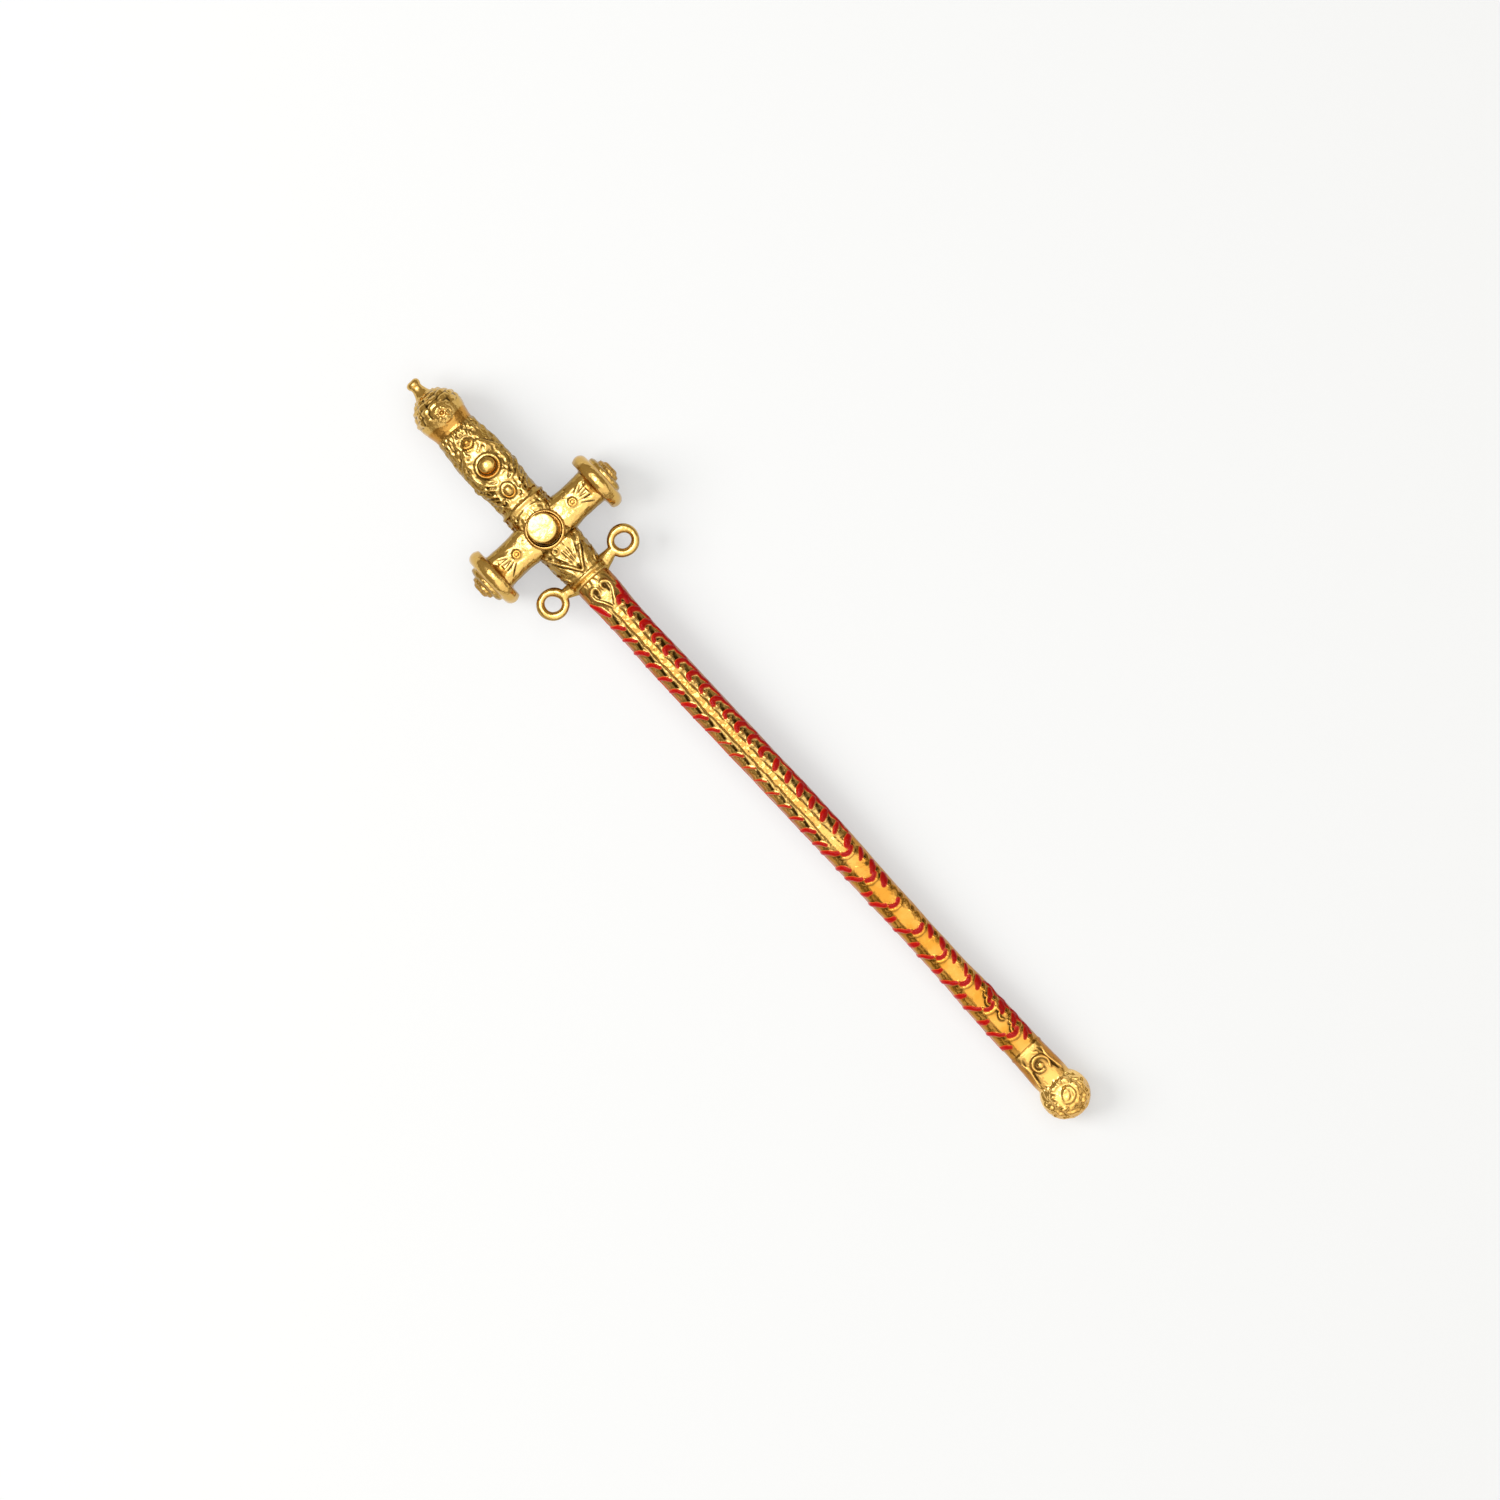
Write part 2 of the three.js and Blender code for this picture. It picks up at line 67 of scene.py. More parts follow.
# %% Stations along the sword and the camera
MM = 0.001
PEG_LENGTH = 1.75
POMMEL_DIAMETER = 5.25
CAP_DIAMETER = 6.5
TIP_DIAMETER = 5.15
TIP_DEPTH = 4.2
SCABBARD_LENGTH = 61.9
POMMEL_X = PEG_LENGTH + POMMEL_DIAMETER / 2
BAND_X = POMMEL_X + POMMEL_DIAMETER * 0.2
GRIP_X = BAND_X + 1.2
BLOCK_X = GRIP_X + 9.8
BLOCK_LENGTH = 5.9
THROAT_X = BLOCK_X + BLOCK_LENGTH
GUARD_X = BLOCK_X + BLOCK_LENGTH * 0.61
HANGER_X = THROAT_X + 3.7
LOOP_X = HANGER_X + 0.45
LOCKET_X = HANGER_X + 0.9
SCABBARD_X = LOCKET_X + 2.7
CHAPE_X = SCABBARD_X + SCABBARD_LENGTH
TIP_X = CHAPE_X + 5.8
RESTING_FLAT = 0.16
CASTING_BOW = 0.32

LIE_ANGLE = math.asin((CAP_DIAMETER - TIP_DEPTH) / 2 / (TIP_X - GUARD_X))
box_low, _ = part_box(NODE)


def smooth(t):
    t = np.clip(t, 0, 1)
    return t * t * (3 - 2 * t)


def sideways(x):
    """Offset of the body's centre line, which eases over from the hilt to the lower scabbard"""
    start, end = SCABBARD_X + SCABBARD_LENGTH * 0.13, SCABBARD_X + SCABBARD_LENGTH * 0.56
    return CASTING_BOW * (smooth((x - start) / (end - start)) - 0.4)


def lay_down(points):
    """From the sword's frame in millimetres to the place where the sword lies, in metres"""
    x, y, z = np.moveaxis(np.asarray(points, float), -1, 0)
    cos, sin = math.cos(LIE_ANGLE), math.sin(LIE_ANGLE)
    height = GUARD_X * sin + CAP_DIAMETER / 2 - RESTING_FLAT
    laid = np.stack([x * cos + z * sin, y - sideways(GUARD_X), height + z * cos - x * sin], -1) * MM
    laid[..., 0] += box_low.x
    laid[..., 2] = np.maximum(laid[..., 2], 0)
    return laid


SWORD_TURN = math.radians(47.55)
VIEW_CENTRE = lay_down([50.37, 0.06, 0])
VIEW_WIDTH = 0.1509
CAMERA_HEIGHT = 0.9
camera_data = bpy.data.cameras.new("camera")
camera = bpy.data.objects.new("camera", camera_data)
bpy.context.scene.collection.objects.link(camera)
bpy.context.scene.camera = camera
camera.location = (VIEW_CENTRE[0], VIEW_CENTRE[1], CAMERA_HEIGHT)
camera.rotation_euler = (0, 0, SWORD_TURN)
camera_data.lens = camera_data.sensor_width * (CAMERA_HEIGHT - VIEW_CENTRE[2]) / VIEW_WIDTH
print("camera lens in mm:", round(camera_data.lens, 1), "lie angle in degrees:",
      round(math.degrees(LIE_ANGLE), 2))

# %% [markdown]
# ## Forms as grids of points
#
# Every part of the casting is round about some line, so each can be a stack of rings. A ring stack
# could come from a subdivision cage, but carving 0.1 mm deep needs rows of points close enough to
# hold it. So each form is a dense numpy grid of rings, pushed out along its normals by its carving.

# %% Helpers for curves, lumps and ring grids


def curve_through(points, count):
    """A smooth curve through a few points, as count points"""
    p = np.asarray(points, float)
    p = np.vstack([2 * p[0] - p[1], p, 2 * p[-1] - p[-2]])
    t = np.linspace(0, len(p) - 3, count)
    k = np.minimum(t.astype(int), len(p) - 4)
    f = (t - k)[:, None]
    a, b, c, d = p[k], p[k + 1], p[k + 2], p[k + 3]
    return 0.5 * (2 * b + (c - a) * f + (2 * a - 5 * b + 4 * c - d) * f**2 + (3 * (b - c) + d - a) * f**3)


def lumps(points, size, seed):
    """Smooth noise from -1 to 1, with bumps about size apart"""
    lattice = np.random.default_rng(seed).uniform(-1, 1, (32, 32, 32))
    cell = np.asarray(points) / size
    base = np.floor(cell).astype(int)
    f = smooth(cell - base)
    total = 0
    for corner in np.ndindex(2, 2, 2):
        i = (base + corner) % 32
        weight = np.prod(np.where(corner, f, 1 - f), axis=-1)
        total = total + weight * lattice[i[..., 0], i[..., 1], i[..., 2]]
    return total


def normals_of(rings):
    """Outward normals of a grid of rings, which close round their second axis"""
    along = np.gradient(rings, axis=0)
    around = np.roll(rings, -1, axis=1) - np.roll(rings, 1, axis=1)
    normal = np.cross(around, along)
    normal /= np.linalg.norm(normal, axis=-1, keepdims=True) + 1e-9
    outside = np.sum(normal * (rings - rings.mean(axis=1, keepdims=True)), axis=-1).mean()
    return normal if outside > 0 else -normal


def blurred(field, steps):
    """A field over a ring grid, averaged with its neighbours steps times"""
    for _ in range(steps):
        padded = np.pad(field, ((1, 1), (0, 0)), mode="edge")
        field = (padded[:-2] + 2 * field + padded[2:]) / 4
        field = (np.roll(field, 1, axis=1) + 2 * field + np.roll(field, -1, axis=1)) / 4
    return field


def ring_solid(name, rings, fields=None, ring_of_rings=False):
    """A closed mesh object from a grid of rings; its ends are closed by a fan to their middle"""
    rows, around = rings.shape[:2]
    points = [rings.reshape(-1, 3)]
    index = np.arange(rows * around).reshape(rows, around)
    lower, upper = index[:-1], index[1:]
    if ring_of_rings:
        lower, upper = index, np.roll(index, -1, axis=0)
    quads = np.stack([lower, np.roll(lower, -1, axis=1), np.roll(upper, -1, axis=1), upper], -1)
    faces = quads.reshape(-1, 4).tolist()
    if not ring_of_rings:
        for row, order in ((0, -1), (rows - 1, 1)):
            middle = rows * around + len(points) - 1
            points.append(rings[row].mean(axis=0)[None])
            pairs = zip(index[row], np.roll(index[row], -1))
            faces += [(a, b, middle)[::order] for a, b in pairs]
    mesh = bpy.data.meshes.new(name)
    mesh.from_pydata(lay_down(np.vstack(points)).tolist(), [], faces)
    for field_name, values in (fields or {}).items():
        flat = values.reshape(-1)
        tail = np.full(len(mesh.vertices) - len(flat), flat[-1])
        attribute = mesh.attributes.new(field_name, "FLOAT", "POINT")
        attribute.data.foreach_set("value", np.concatenate([flat, tail]).astype(np.float32))
    turned_out = bmesh.new()
    turned_out.from_mesh(mesh)
    if turned_out.calc_volume(signed=True) < 0:
        bmesh.ops.reverse_faces(turned_out, faces=turned_out.faces)
    turned_out.to_mesh(mesh)
    turned_out.free()
    piece = bpy.data.objects.new(name, mesh)
    bpy.context.scene.collection.objects.link(piece)
    return piece


# %% [markdown]
# ## Carving as fields on a sleeve
#
# The hilt, the arms and the scabbard are sleeves with a rounded-square section. The ornament on
# them is strokes: locks, leaves, ridges and painted scrolls. They could be separate little meshes,
# but a caster's model is softer than that. So a sleeve keeps fields over its grid, for height, for
# paint, for amber and for a dark tint of painted shade and stain, and a stroke is drawn into them by
# its distance from a curve.

# %% The sleeve
SQUARENESS = 2.3


def section_table(squareness, count=721):
    """The section's outline by its share of the way round: 0 is the front, 0.5 the edge"""
    angle = np.linspace(-math.pi, math.pi, count)
    across = np.sign(np.sin(angle)) * np.abs(np.sin(angle)) ** (2 / squareness)
    front = np.sign(np.cos(angle)) * np.abs(np.cos(angle)) ** (2 / squareness)
    way = np.concatenate([[0], np.cumsum(np.hypot(np.diff(across), np.diff(front)))])
    return way / way[-1] * 2 - 1, across, front, way[-1] / 2


class Sleeve:
    """A length of the casting on a ring grid, with its relief, paint and amber tint as fields"""

    def __init__(self, start, end, spacing, around, width, depth, squareness=SQUARENESS):
        self.share, self.across, self.front, self.girth = section_table(squareness)
        fine = np.linspace(-1, 1, 2001)
        dense = np.where(np.abs(fine) < 0.56, 1, 0.42)
        running = np.concatenate([[0], np.cumsum((dense[1:] + dense[:-1]) / 2)])
        turns = np.interp(np.arange(around) / around * running[-1], running, fine)
        along = np.linspace(start, end, max(2, round((end - start) / spacing) + 1))
        self.x, self.turn = np.meshgrid(along, turns, indexing="ij")
        self.width, self.depth = width, depth
        self.s = self.turn * self.half_girth(self.x)
        self.height = np.zeros_like(self.x)
        self.paint = np.full_like(self.x, -1.0)
        self.amber = np.zeros_like(self.x)
        self.shade_and_stain = np.zeros_like(self.x)

    def half_girth(self, x):
        return self.girth * (self.width(x) + self.depth(x)) / 4

    def reach(self, x, y):
        """The way round the sleeve to a place seen from the front; past the edge it runs on"""
        share = y / (self.width(x) / 2)
        on_front = np.abs(self.share) <= 0.5
        inside = np.interp(np.clip(share, -1, 1), self.across[on_front], self.share[on_front])
        past = np.sign(share) * np.maximum(np.abs(share) - 1, 0) * 0.3
        return (inside + past) * self.half_girth(x)

    def distance(self, path):
        """How far each point is from a path of x and y pairs, and how far along the path that is"""
        line = curve_through(path, 6 * len(path))
        line[:, 1] = self.reach(line[:, 0], line[:, 1])
        best, share = np.full_like(self.x, 9.0), np.zeros_like(self.x)
        rows = np.abs(self.x[:, 0] - line[:, 0].mean()) < np.ptp(line[:, 0]) / 2 + 1.6
        x, s = self.x[rows], self.s[rows]
        near, place = best[rows], share[rows]
        for k, (a, b) in enumerate(zip(line[:-1], line[1:])):
            step = b - a
            t = np.clip(((x - a[0]) * step[0] + (s - a[1]) * step[1]) / (step @ step + 1e-9), 0, 1)
            gap = np.hypot(x - a[0] - t * step[0], s - a[1] - t * step[1])
            place = np.where(gap < near, (k + t) / (len(line) - 1), place)
            near = np.minimum(near, gap)
        best[rows], share[rows] = near, place
        return best, share

    def stroke(self, path, width, height, ends=(0.55, 1, 0.55), paint=0.0, amber=0.0, shade_and_stain=0.0):
        """Raises or sinks a rounded stroke; paint is the share of its width that is enamelled"""
        gap, share = self.distance(path)
        half = width / 2 * np.interp(share, np.linspace(0, 1, len(ends)), ends)
        rise = height * smooth(1.25 * (1 - gap / half)) ** 0.8
        self.height = np.maximum(self.height, rise) if height > 0 else self.height + rise
        if paint:
            self.paint = np.maximum(self.paint, half * paint - gap)
        self.amber = np.maximum(self.amber, amber * smooth(1.5 - gap / half))
        # The dark tint a stroke leaves is painted shade and stain.
        self.shade_and_stain = np.maximum(self.shade_and_stain, shade_and_stain * smooth(1.6 * (1 - gap / half)))

    def bead(self, x, y, radius, height, stretch=1.0):
        """A round or oval bead; stretch makes it longer along the sleeve"""
        gap = np.hypot((self.x - x) / stretch, self.s - self.reach(x, y)) / radius
        self.height = np.maximum(self.height, height * np.sqrt(np.clip(1 - gap**2, 0, 1)))

    def ring(self, x, y, radius, wire, height, stretch=1.0, amber=0.0, worn=0.0):
        """A raised ring, worn down towards the peg, with amber painted in its groove towards the tip as
        shade on the side away from the light
        """
        along, across = (self.x - x) / stretch, self.s - self.reach(x, y)
        gap = np.hypot(along, across)
        inside = gap < radius + wire
        to_tip = along / (gap + 0.01)
        rise = height * smooth(1.3 * (1 - np.abs(gap - radius) / (wire / 2)))
        self.height = np.where(inside, rise * (1 - worn * smooth(0.4 - to_tip)), self.height)
        groove = smooth((radius + 0.1 - gap) / 0.12) * smooth((gap - 0.6 * radius) / 0.12)
        self.amber = np.maximum(self.amber, amber * groove * smooth(0.55 + 0.9 * to_tip))

    def tint(self, x, y, radius, amber, shade_and_stain=0.0):
        """Amber and painted dark shade over a round spot"""
        gap = np.hypot(self.x - x, self.s - self.reach(x, y))
        self.amber = np.maximum(self.amber, amber * smooth((radius - gap) / 0.12))
        self.shade_and_stain = np.maximum(self.shade_and_stain, shade_and_stain * smooth((radius - gap) / 0.12))

    def rings(self, grain=0.012, grain_size=0.5, seed=1):
        """The finished grid in the sleeve's own frame, softly lumpy as a casting is"""
        half_width, half_depth = self.width(self.x) / 2, self.depth(self.x) / 2
        y = half_width * np.interp(self.turn, self.share, self.across)
        z = half_depth * np.interp(self.turn, self.share, self.front)
        plain = np.stack([self.x, y, z], -1)
        uneven = grain * lumps(plain, grain_size, seed) + 0.03 * lumps(plain, 2.6, seed + 1)
        uneven += 0.6 * grain * lumps(plain, 0.45 * grain_size, seed + 2)
        return plain + normals_of(plain) * (self.height + uneven)[..., None]

    def fields(self):
        """Paint, amber and hollow shade; the last is painted shade, from how far the carving lies below its
        surroundings and from the dark tint of the strokes
        """
        hollow = blurred(self.height, 14) - self.height
        return {"paint": self.paint, "amber": self.amber, "hollow_shade": hollow / 0.12 + self.shade_and_stain}


def profile(stations, softness=0.12):
    """A size that follows stations of x and value, with rounded corners"""
    xs, values = np.array(stations, float).T

    def size(x):
        spread = np.linspace(-2, 2, 9)
        weight = np.exp(-(spread**2))
        blend = sum(w * np.interp(x + s * softness, xs, values) for s, w in zip(spread, weight))
        return blend / weight.sum()

    return size


def band(x, centre, length, height):
    """A half-round band's addition to a width"""
    return 2 * height * np.sqrt(np.clip(1 - ((x - centre) / (length / 2)) ** 2, 0, 1))


# %% [markdown]
# ## The grip and the guard block
#
# The grip swells in the middle and carries three set stones among small leaves and sweeping locks.
# The locks could be scattered at random, but on the real one they run as parallel curves round the
# middle stone, so each is the same curve at a growing radius. A seeded unevenness keeps two sides
# from matching exactly, as hand-cut originals do.

# %% Grip sleeve
GRIP_MIDDLE = GRIP_X + 4.9
HILT_END = LOCKET_X + 0.15
hilt_width = profile([
    (5.0, 4.9), (BAND_X, 4.86), (BAND_X + 0.95, 4.46), (GRIP_X - 0.08, 4.34), (GRIP_X + 0.12, 4.6),
    (GRIP_X + 1.5, 4.84), (GRIP_X + 3.4, 5.16), (GRIP_X + 5.4, 5.16), (GRIP_X + 8, 4.76),
    (BLOCK_X - 0.15, 4.62), (BLOCK_X + 0.15, 4.94), (THROAT_X, 4.94), (HANGER_X, 4.36), (HILT_END, 4.3)])
hilt_depth = profile([
    (5.0, 4.7), (BAND_X, 4.66), (BAND_X + 0.95, 4.18), (GRIP_X - 0.08, 4.04), (GRIP_X + 0.12, 4.36),
    (GRIP_MIDDLE, 4.7), (BLOCK_X - 0.15, 4.36), (BLOCK_X + 0.15, 4.66), (THROAT_X, 4.66),
    (HANGER_X, 3.9), (HILT_END, 3.7)])


def hilt_bands(x):
    raised = band(x, BLOCK_X + 0.32, 0.46, 0.16) + band(x, GRIP_X - 0.16, 0.2, 0.05)
    return raised + band(x, HANGER_X + 0.22, 0.44, 0.17) + band(x, HANGER_X + 0.7, 0.42, 0.15)


hilt = Sleeve(5.0, HILT_END, 0.095, 156,
              lambda x: hilt_width(x) + hilt_bands(x), lambda x: hilt_depth(x) + hilt_bands(x))
luck = np.random.default_rng(11)
wobble = lambda size: luck.uniform(-size, size)
SIDES = (1, -1)
LOCK = 0.24

# %% [markdown]
# The stones are cast bosses in raised rims, and the groove inside each rim is tinted amber on its
# side towards the tip, as painted shade. Between them the ground is leafy. Folded noise gives the
# ground its small veined leaves, and the locks and sprigs that the eye follows are drawn over it
# one by one.

# %% Stones, leaves and locks on the grip


def leafy(sleeve, size, seed):
    """Folded noise from -1 to 1, whose sharp crests look like veined leaves"""
    place = np.stack([sleeve.x * 0.8, sleeve.s, 0 * sleeve.s], -1)
    return 1 - 2.6 * np.abs(lumps(place, size, seed)) + 0.5 * lumps(place, size * 0.45, seed + 1)


carved = smooth((hilt.x - GRIP_X) / 0.2) * smooth((BLOCK_X - hilt.x) / 0.2)
carved *= smooth((0.5 - np.abs(hilt.turn)) / 0.1)
hilt.height += carved * 0.12 * leafy(hilt, 0.5, 15)
for row in range(3):
    for k in range(-4, 5):
        x = GRIP_X + 0.35 + 0.42 * row + wobble(0.1)
        y = (k + 0.5 * (row % 2)) * 0.46 + wobble(0.07)
        hilt.stroke([(x - 0.22, y), (x + 0.26, y * 1.04 + wobble(0.12))], 0.36, 0.24 + wobble(0.06))
for side in SIDES:
    for radius, first, last in ((1.66, 112, 20), (2.2, 100, 30), (2.72, 88, 22), (3.25, 74, 30)):
        sweep = []
        for angle in np.linspace(first, last, 5):
            c, s = math.cos(math.radians(angle)), math.sin(math.radians(angle))
            sweep.append((GRIP_MIDDLE + radius * c + wobble(0.09), side * radius * s * 0.84 + wobble(0.08)))
        hilt.stroke(sweep, 0.38 + wobble(0.06), LOCK + wobble(0.06), ends=(0.4, 1, 0.7, 1, 0.3))
    for lift in (0.0, 0.5, 1.0):
        sprig = [(-3.2 + lift, 0.5 + lift * 0.9), (-2.3 + lift, 1.0 + lift), (-1.35 + lift, 1.5 + lift)]
        sprig = [(GRIP_MIDDLE + a + wobble(0.1), side * b) for a, b in sprig]
        hilt.stroke(sprig, 0.42, LOCK, ends=(0.4, 1, 0.5))
        twig = [(-2.75 + lift, 0.62 + lift * 0.8), (-2.4 + lift, 0.22 + lift * 0.8)]
        hilt.stroke([(GRIP_MIDDLE + a, side * b + wobble(0.1)) for a, b in twig], 0.34, LOCK)
    curl = [(-1.95, 2.05), (-1.2, 1.75), (-0.62, 1.5), (-0.5, 1.08), (-0.85, 0.9), (-1.12, 1.15),
            (-0.92, 1.34)]
    hilt.stroke([(BLOCK_X + a, side * b) for a, b in curl], 0.26, LOCK)
    for a in (-2.6, -2.15, -1.7):
        hilt.stroke([(BLOCK_X + a, side * 2.3), (BLOCK_X + a + 0.75, side * 1.3)], 0.28, LOCK)
for k in range(26):
    x, y = GRIP_X + 1.2 + 0.33 * k + wobble(0.1), wobble(1.9)
    hilt.stroke([(x, y), (x + wobble(0.45), y + wobble(0.45))], 0.3, LOCK + wobble(0.06))

STONES = [(GRIP_X + 1.8, 0.0, 0.56, 0.3, 0.9), (GRIP_MIDDLE, 0.0, 1.14, 0.36, 0.35),
          (GRIP_X + 8.1, -0.1, 0.6, 0.26, 0.3)]
for x, y, radius, wire, worn in STONES:
    stretch = 1.0 if radius > 1 else (0.9 if x < GRIP_MIDDLE else 1.25)
    hilt.ring(x, y, radius, wire, 0.3, stretch, amber=1.0, worn=worn)
    hilt.bead(x - 0.06 * radius, y, radius * 0.78, 0.36 * radius + 0.12, stretch)
# Amber and painted dark shade beside the first two stones, on their side towards the tip.
SHADED_STONE_SPOTS = ((GRIP_X + 2.15, 0.62, 0.3), (GRIP_MIDDLE + 0.75, 0.5, 0.1))
for x, radius, shade_and_stain in SHADED_STONE_SPOTS:
    hilt.tint(x, -0.1, radius, 1.0, shade_and_stain=shade_and_stain)
# The pommel band is tinted amber, a painted sheen.
band_painted_sheen = smooth((hilt.x - BAND_X + 0.25) / 0.2) * smooth((GRIP_X + 0.05 - hilt.x) / 0.1)
hilt.amber = np.maximum(hilt.amber, 0.75 * band_painted_sheen)
print("grip relief in mm:", round(float(hilt.height.min()), 3), round(float(hilt.height.max()), 3))

# %% [markdown]
# The guard block is only faintly leafy and pitted, with a beaded fringe at its edges. The throat
# after it has two ridges that meet in a point, with a leaf between them and a hollow at each side.

# %% Block and throat
block = smooth((hilt.x - BLOCK_X - 0.6) / 0.2) * smooth((HANGER_X - 0.1 - hilt.x) / 0.2)
hilt.height += block * 0.085 * leafy(hilt, 0.6, 17) * smooth((0.6 - np.abs(hilt.turn)) / 0.1)
for side in SIDES:
    for row in range(5):
        for k in range(3):
            x = BLOCK_X + 0.7 + row * 0.36 + wobble(0.06)
            hilt.bead(x, side * (1.7 + 0.34 * k + wobble(0.06)), 0.18, 0.17 + wobble(0.03))
    eyebrow = [(BLOCK_X + 0.95, side * 0.35), (BLOCK_X + 1.15, side * 1.1), (BLOCK_X + 1.75, side * 1.75)]
    hilt.stroke(eyebrow, 0.26, 0.17)
    hilt.stroke([(BLOCK_X + 1.35, side * 0.5), (BLOCK_X + 1.7, side * 1.2)], 0.24, 0.12)
    ridge = [(THROAT_X - 0.3, side * 2.2), (THROAT_X + 1.2, side * 1.42), (THROAT_X + 2.4, side * 0.62),
             (HANGER_X - 0.3, side * 0.05)]
    hilt.stroke(ridge, 0.5, 0.32, ends=(0.7, 1, 1, 0.7))
    inner = [(THROAT_X + 0.3, side * 1.3), (THROAT_X + 1.4, side * 0.72), (HANGER_X - 0.9, side * 0.1)]
    hilt.stroke(inner, 0.24, 0.2)
    hilt.stroke([(THROAT_X + 0.6, side * 0.28), (HANGER_X - 1.2, side * 0.1)], 0.26, 0.18)
    # The hollow beside each ridge is sunk and darkened with painted shade.
    hilt.stroke([(THROAT_X + 0.9, side * 1.75), (THROAT_X + 1.9, side * 1.3)], 0.3, -0.1, shade_and_stain=0.6)
    hilt.stroke([(THROAT_X + 1.6, side * 1.75), (HANGER_X - 0.5, side * 0.85)], 0.8, 0.12)
    hilt.stroke([(THROAT_X + 2.0, side * 2.3), (HANGER_X - 0.35, side * 1.7)], 0.4, 0.2)
# Small sunk pits over the block, darkened with painted shade.
for k in range(22):
    x, y = BLOCK_X + 0.7 + 0.25 * k + wobble(0.1), wobble(2.0)
    hilt.stroke([(x, y), (x + wobble(0.3), y + wobble(0.3))], 0.22, -0.05, shade_and_stain=0.6)
hilt.ring(THROAT_X + 0.15, -0.8, 0.3, 0.24, 0.2, amber=0.8)
hilt.stroke([(HANGER_X + 0.46, -2.1), (HANGER_X + 0.46, 0.9)], 0.44, 0.001, ends=(1, 1, 0.6), amber=1.0)
hilt.stroke([(THROAT_X - 0.5, -2.2), (THROAT_X - 0.4, 2.2)], 0.6, -0.12, amber=0.6)


def on_body(local):
    """From a sleeve's own frame to the sword's, along the bowed centre line"""
    local = local.copy()
    local[..., 1] += sideways(local[..., 0])
    return local


hilt_body = ring_solid("hilt", on_body(hilt.rings(seed=3)), hilt.fields())

# %% [markdown]
# ## Turned forms
#
# The pommel, the peg, the boss, the caps and the tip medallion are round about an axis of their
# own. A Screw modifier could turn an outline, but the carving would then need a second step. Here
# an outline is turned on a grid, and the carving pushes the points out in the same go.

# %% Helper for turned forms


def turned(name, outline, steps, around, place, carve=None, grain=0.01, seed=5, amber=None, shade_and_stain=None,
           relief_depth=0.1):
    """Turns an outline of radius and height pairs, carves it, and puts it in its place"""
    line = curve_through(outline, steps)
    line[:, 0] = np.maximum(line[:, 0], 0.002)
    way = np.concatenate([[0], np.cumsum(np.hypot(*np.diff(line, axis=0).T))])
    angle = np.linspace(0, 2 * math.pi, around, endpoint=False)
    along, turn = np.meshgrid(way, angle, indexing="ij")
    radius, height = line[:, :1], line[:, 1:]
    rings = np.stack([radius * np.cos(turn), radius * np.sin(turn), height + 0 * turn], -1)
    slope = np.gradient(line, axis=0)
    slope /= np.linalg.norm(slope, axis=1, keepdims=True) + 1e-9
    out_r, out_h = slope[:, 1:], -slope[:, :1]
    if (out_r * radius).sum() < 0:
        out_r, out_h = -out_r, -out_h
    normal = np.stack([out_r * np.cos(turn), out_r * np.sin(turn), out_h + 0 * turn], -1)
    relief = np.zeros_like(turn) if carve is None else carve(along, turn, radius + 0 * turn, rings)
    hollow = (blurred(relief, 6) - relief) / relief_depth
    if shade_and_stain is not None:
        hollow = hollow + shade_and_stain(turn, radius + 0 * turn)
    uneven = grain * lumps(rings, 0.45, seed) + 0.025 * lumps(rings, 2.2, seed + 1)
    tint = np.zeros_like(turn) if amber is None else amber(rings, radius + 0 * turn)
    rings = rings + normal * (relief + uneven)[..., None]
    fields = {"paint": np.full_like(turn, -1.0), "amber": tint, "hollow_shade": hollow}
    return ring_solid(name, place(rings), fields)


def arc(radius, start, end, count, centre=(0, 0)):
    """Points on an arc in an outline, with angles in degrees from its axis of radius"""
    angles = np.radians(np.linspace(start, end, count))
    return [(centre[0] + radius * math.cos(a), centre[1] + radius * math.sin(a)) for a in angles]


# %% [markdown]
# The pommel is a ball: towards the peg it is covered with small overlapping leaves, a rosette sits
# on its front, and its other half is smooth. The leaves run in rows round the peg's axis.

# %% Pommel and peg


def pommel_carving(along, turn, radius, rings):
    from_peg = along / (POMMEL_DIAMETER / 2)
    rows = from_peg / math.radians(15)
    row = np.floor(rows)
    side = np.abs(np.sin(turn * np.clip(2 * row + 4, 5, 13) / 2 + row * 1.3 + 0.5 * np.sin(turn * 3)))
    leaf = side**0.7 * np.sin(math.pi * (rows - row)) ** 0.7
    rough = 0.5 + 0.5 * lumps(rings, 0.42, 21)
    front = 0.6 + 0.4 * smooth(rings[..., 1] / 1.4)
    covered = front * smooth((1.75 - from_peg) / 0.25) * smooth((from_peg - 0.3) / 0.15)
    return covered * (0.19 * leaf * (0.45 + 0.9 * rough) + 0.12 * rough - 0.13)


along_sword = lambda rings: rings[..., [2, 0, 1]]
pommel_place = lambda rings: along_sword(rings) + np.array([POMMEL_X, sideways(POMMEL_X), 0])
ball = arc(POMMEL_DIAMETER / 2, -90, 90, 17)
pommel = turned("pommel", ball, 84, 120, pommel_place, pommel_carving, relief_depth=0.06)

peg_outline = [(0, 0), (0.42, 0.02), (0.66, 0.18), (0.73, 0.4), (0.68, 0.62), (0.6, 0.8), (0.63, 1.15),
               (0.8, 1.6), (1.0, 2.1), (0.5, 2.6), (0, 2.7)]
peg_foot = np.array([0.02, sideways(0), 0])
peg = turned("peg", peg_outline, 44, 36, lambda rings: along_sword(rings) + peg_foot, grain=0.03, seed=8)


def rosette_carving(along, turn, radius, rings):
    petals = 0.09 * np.abs(np.cos(turn * 3.5)) * smooth((radius - 0.3) / 0.2)
    petals *= smooth((1.15 - radius) / 0.2)
    return petals + 0.13 * lumps(rings, 0.36, 31) * smooth((1.3 - radius) / 0.3)


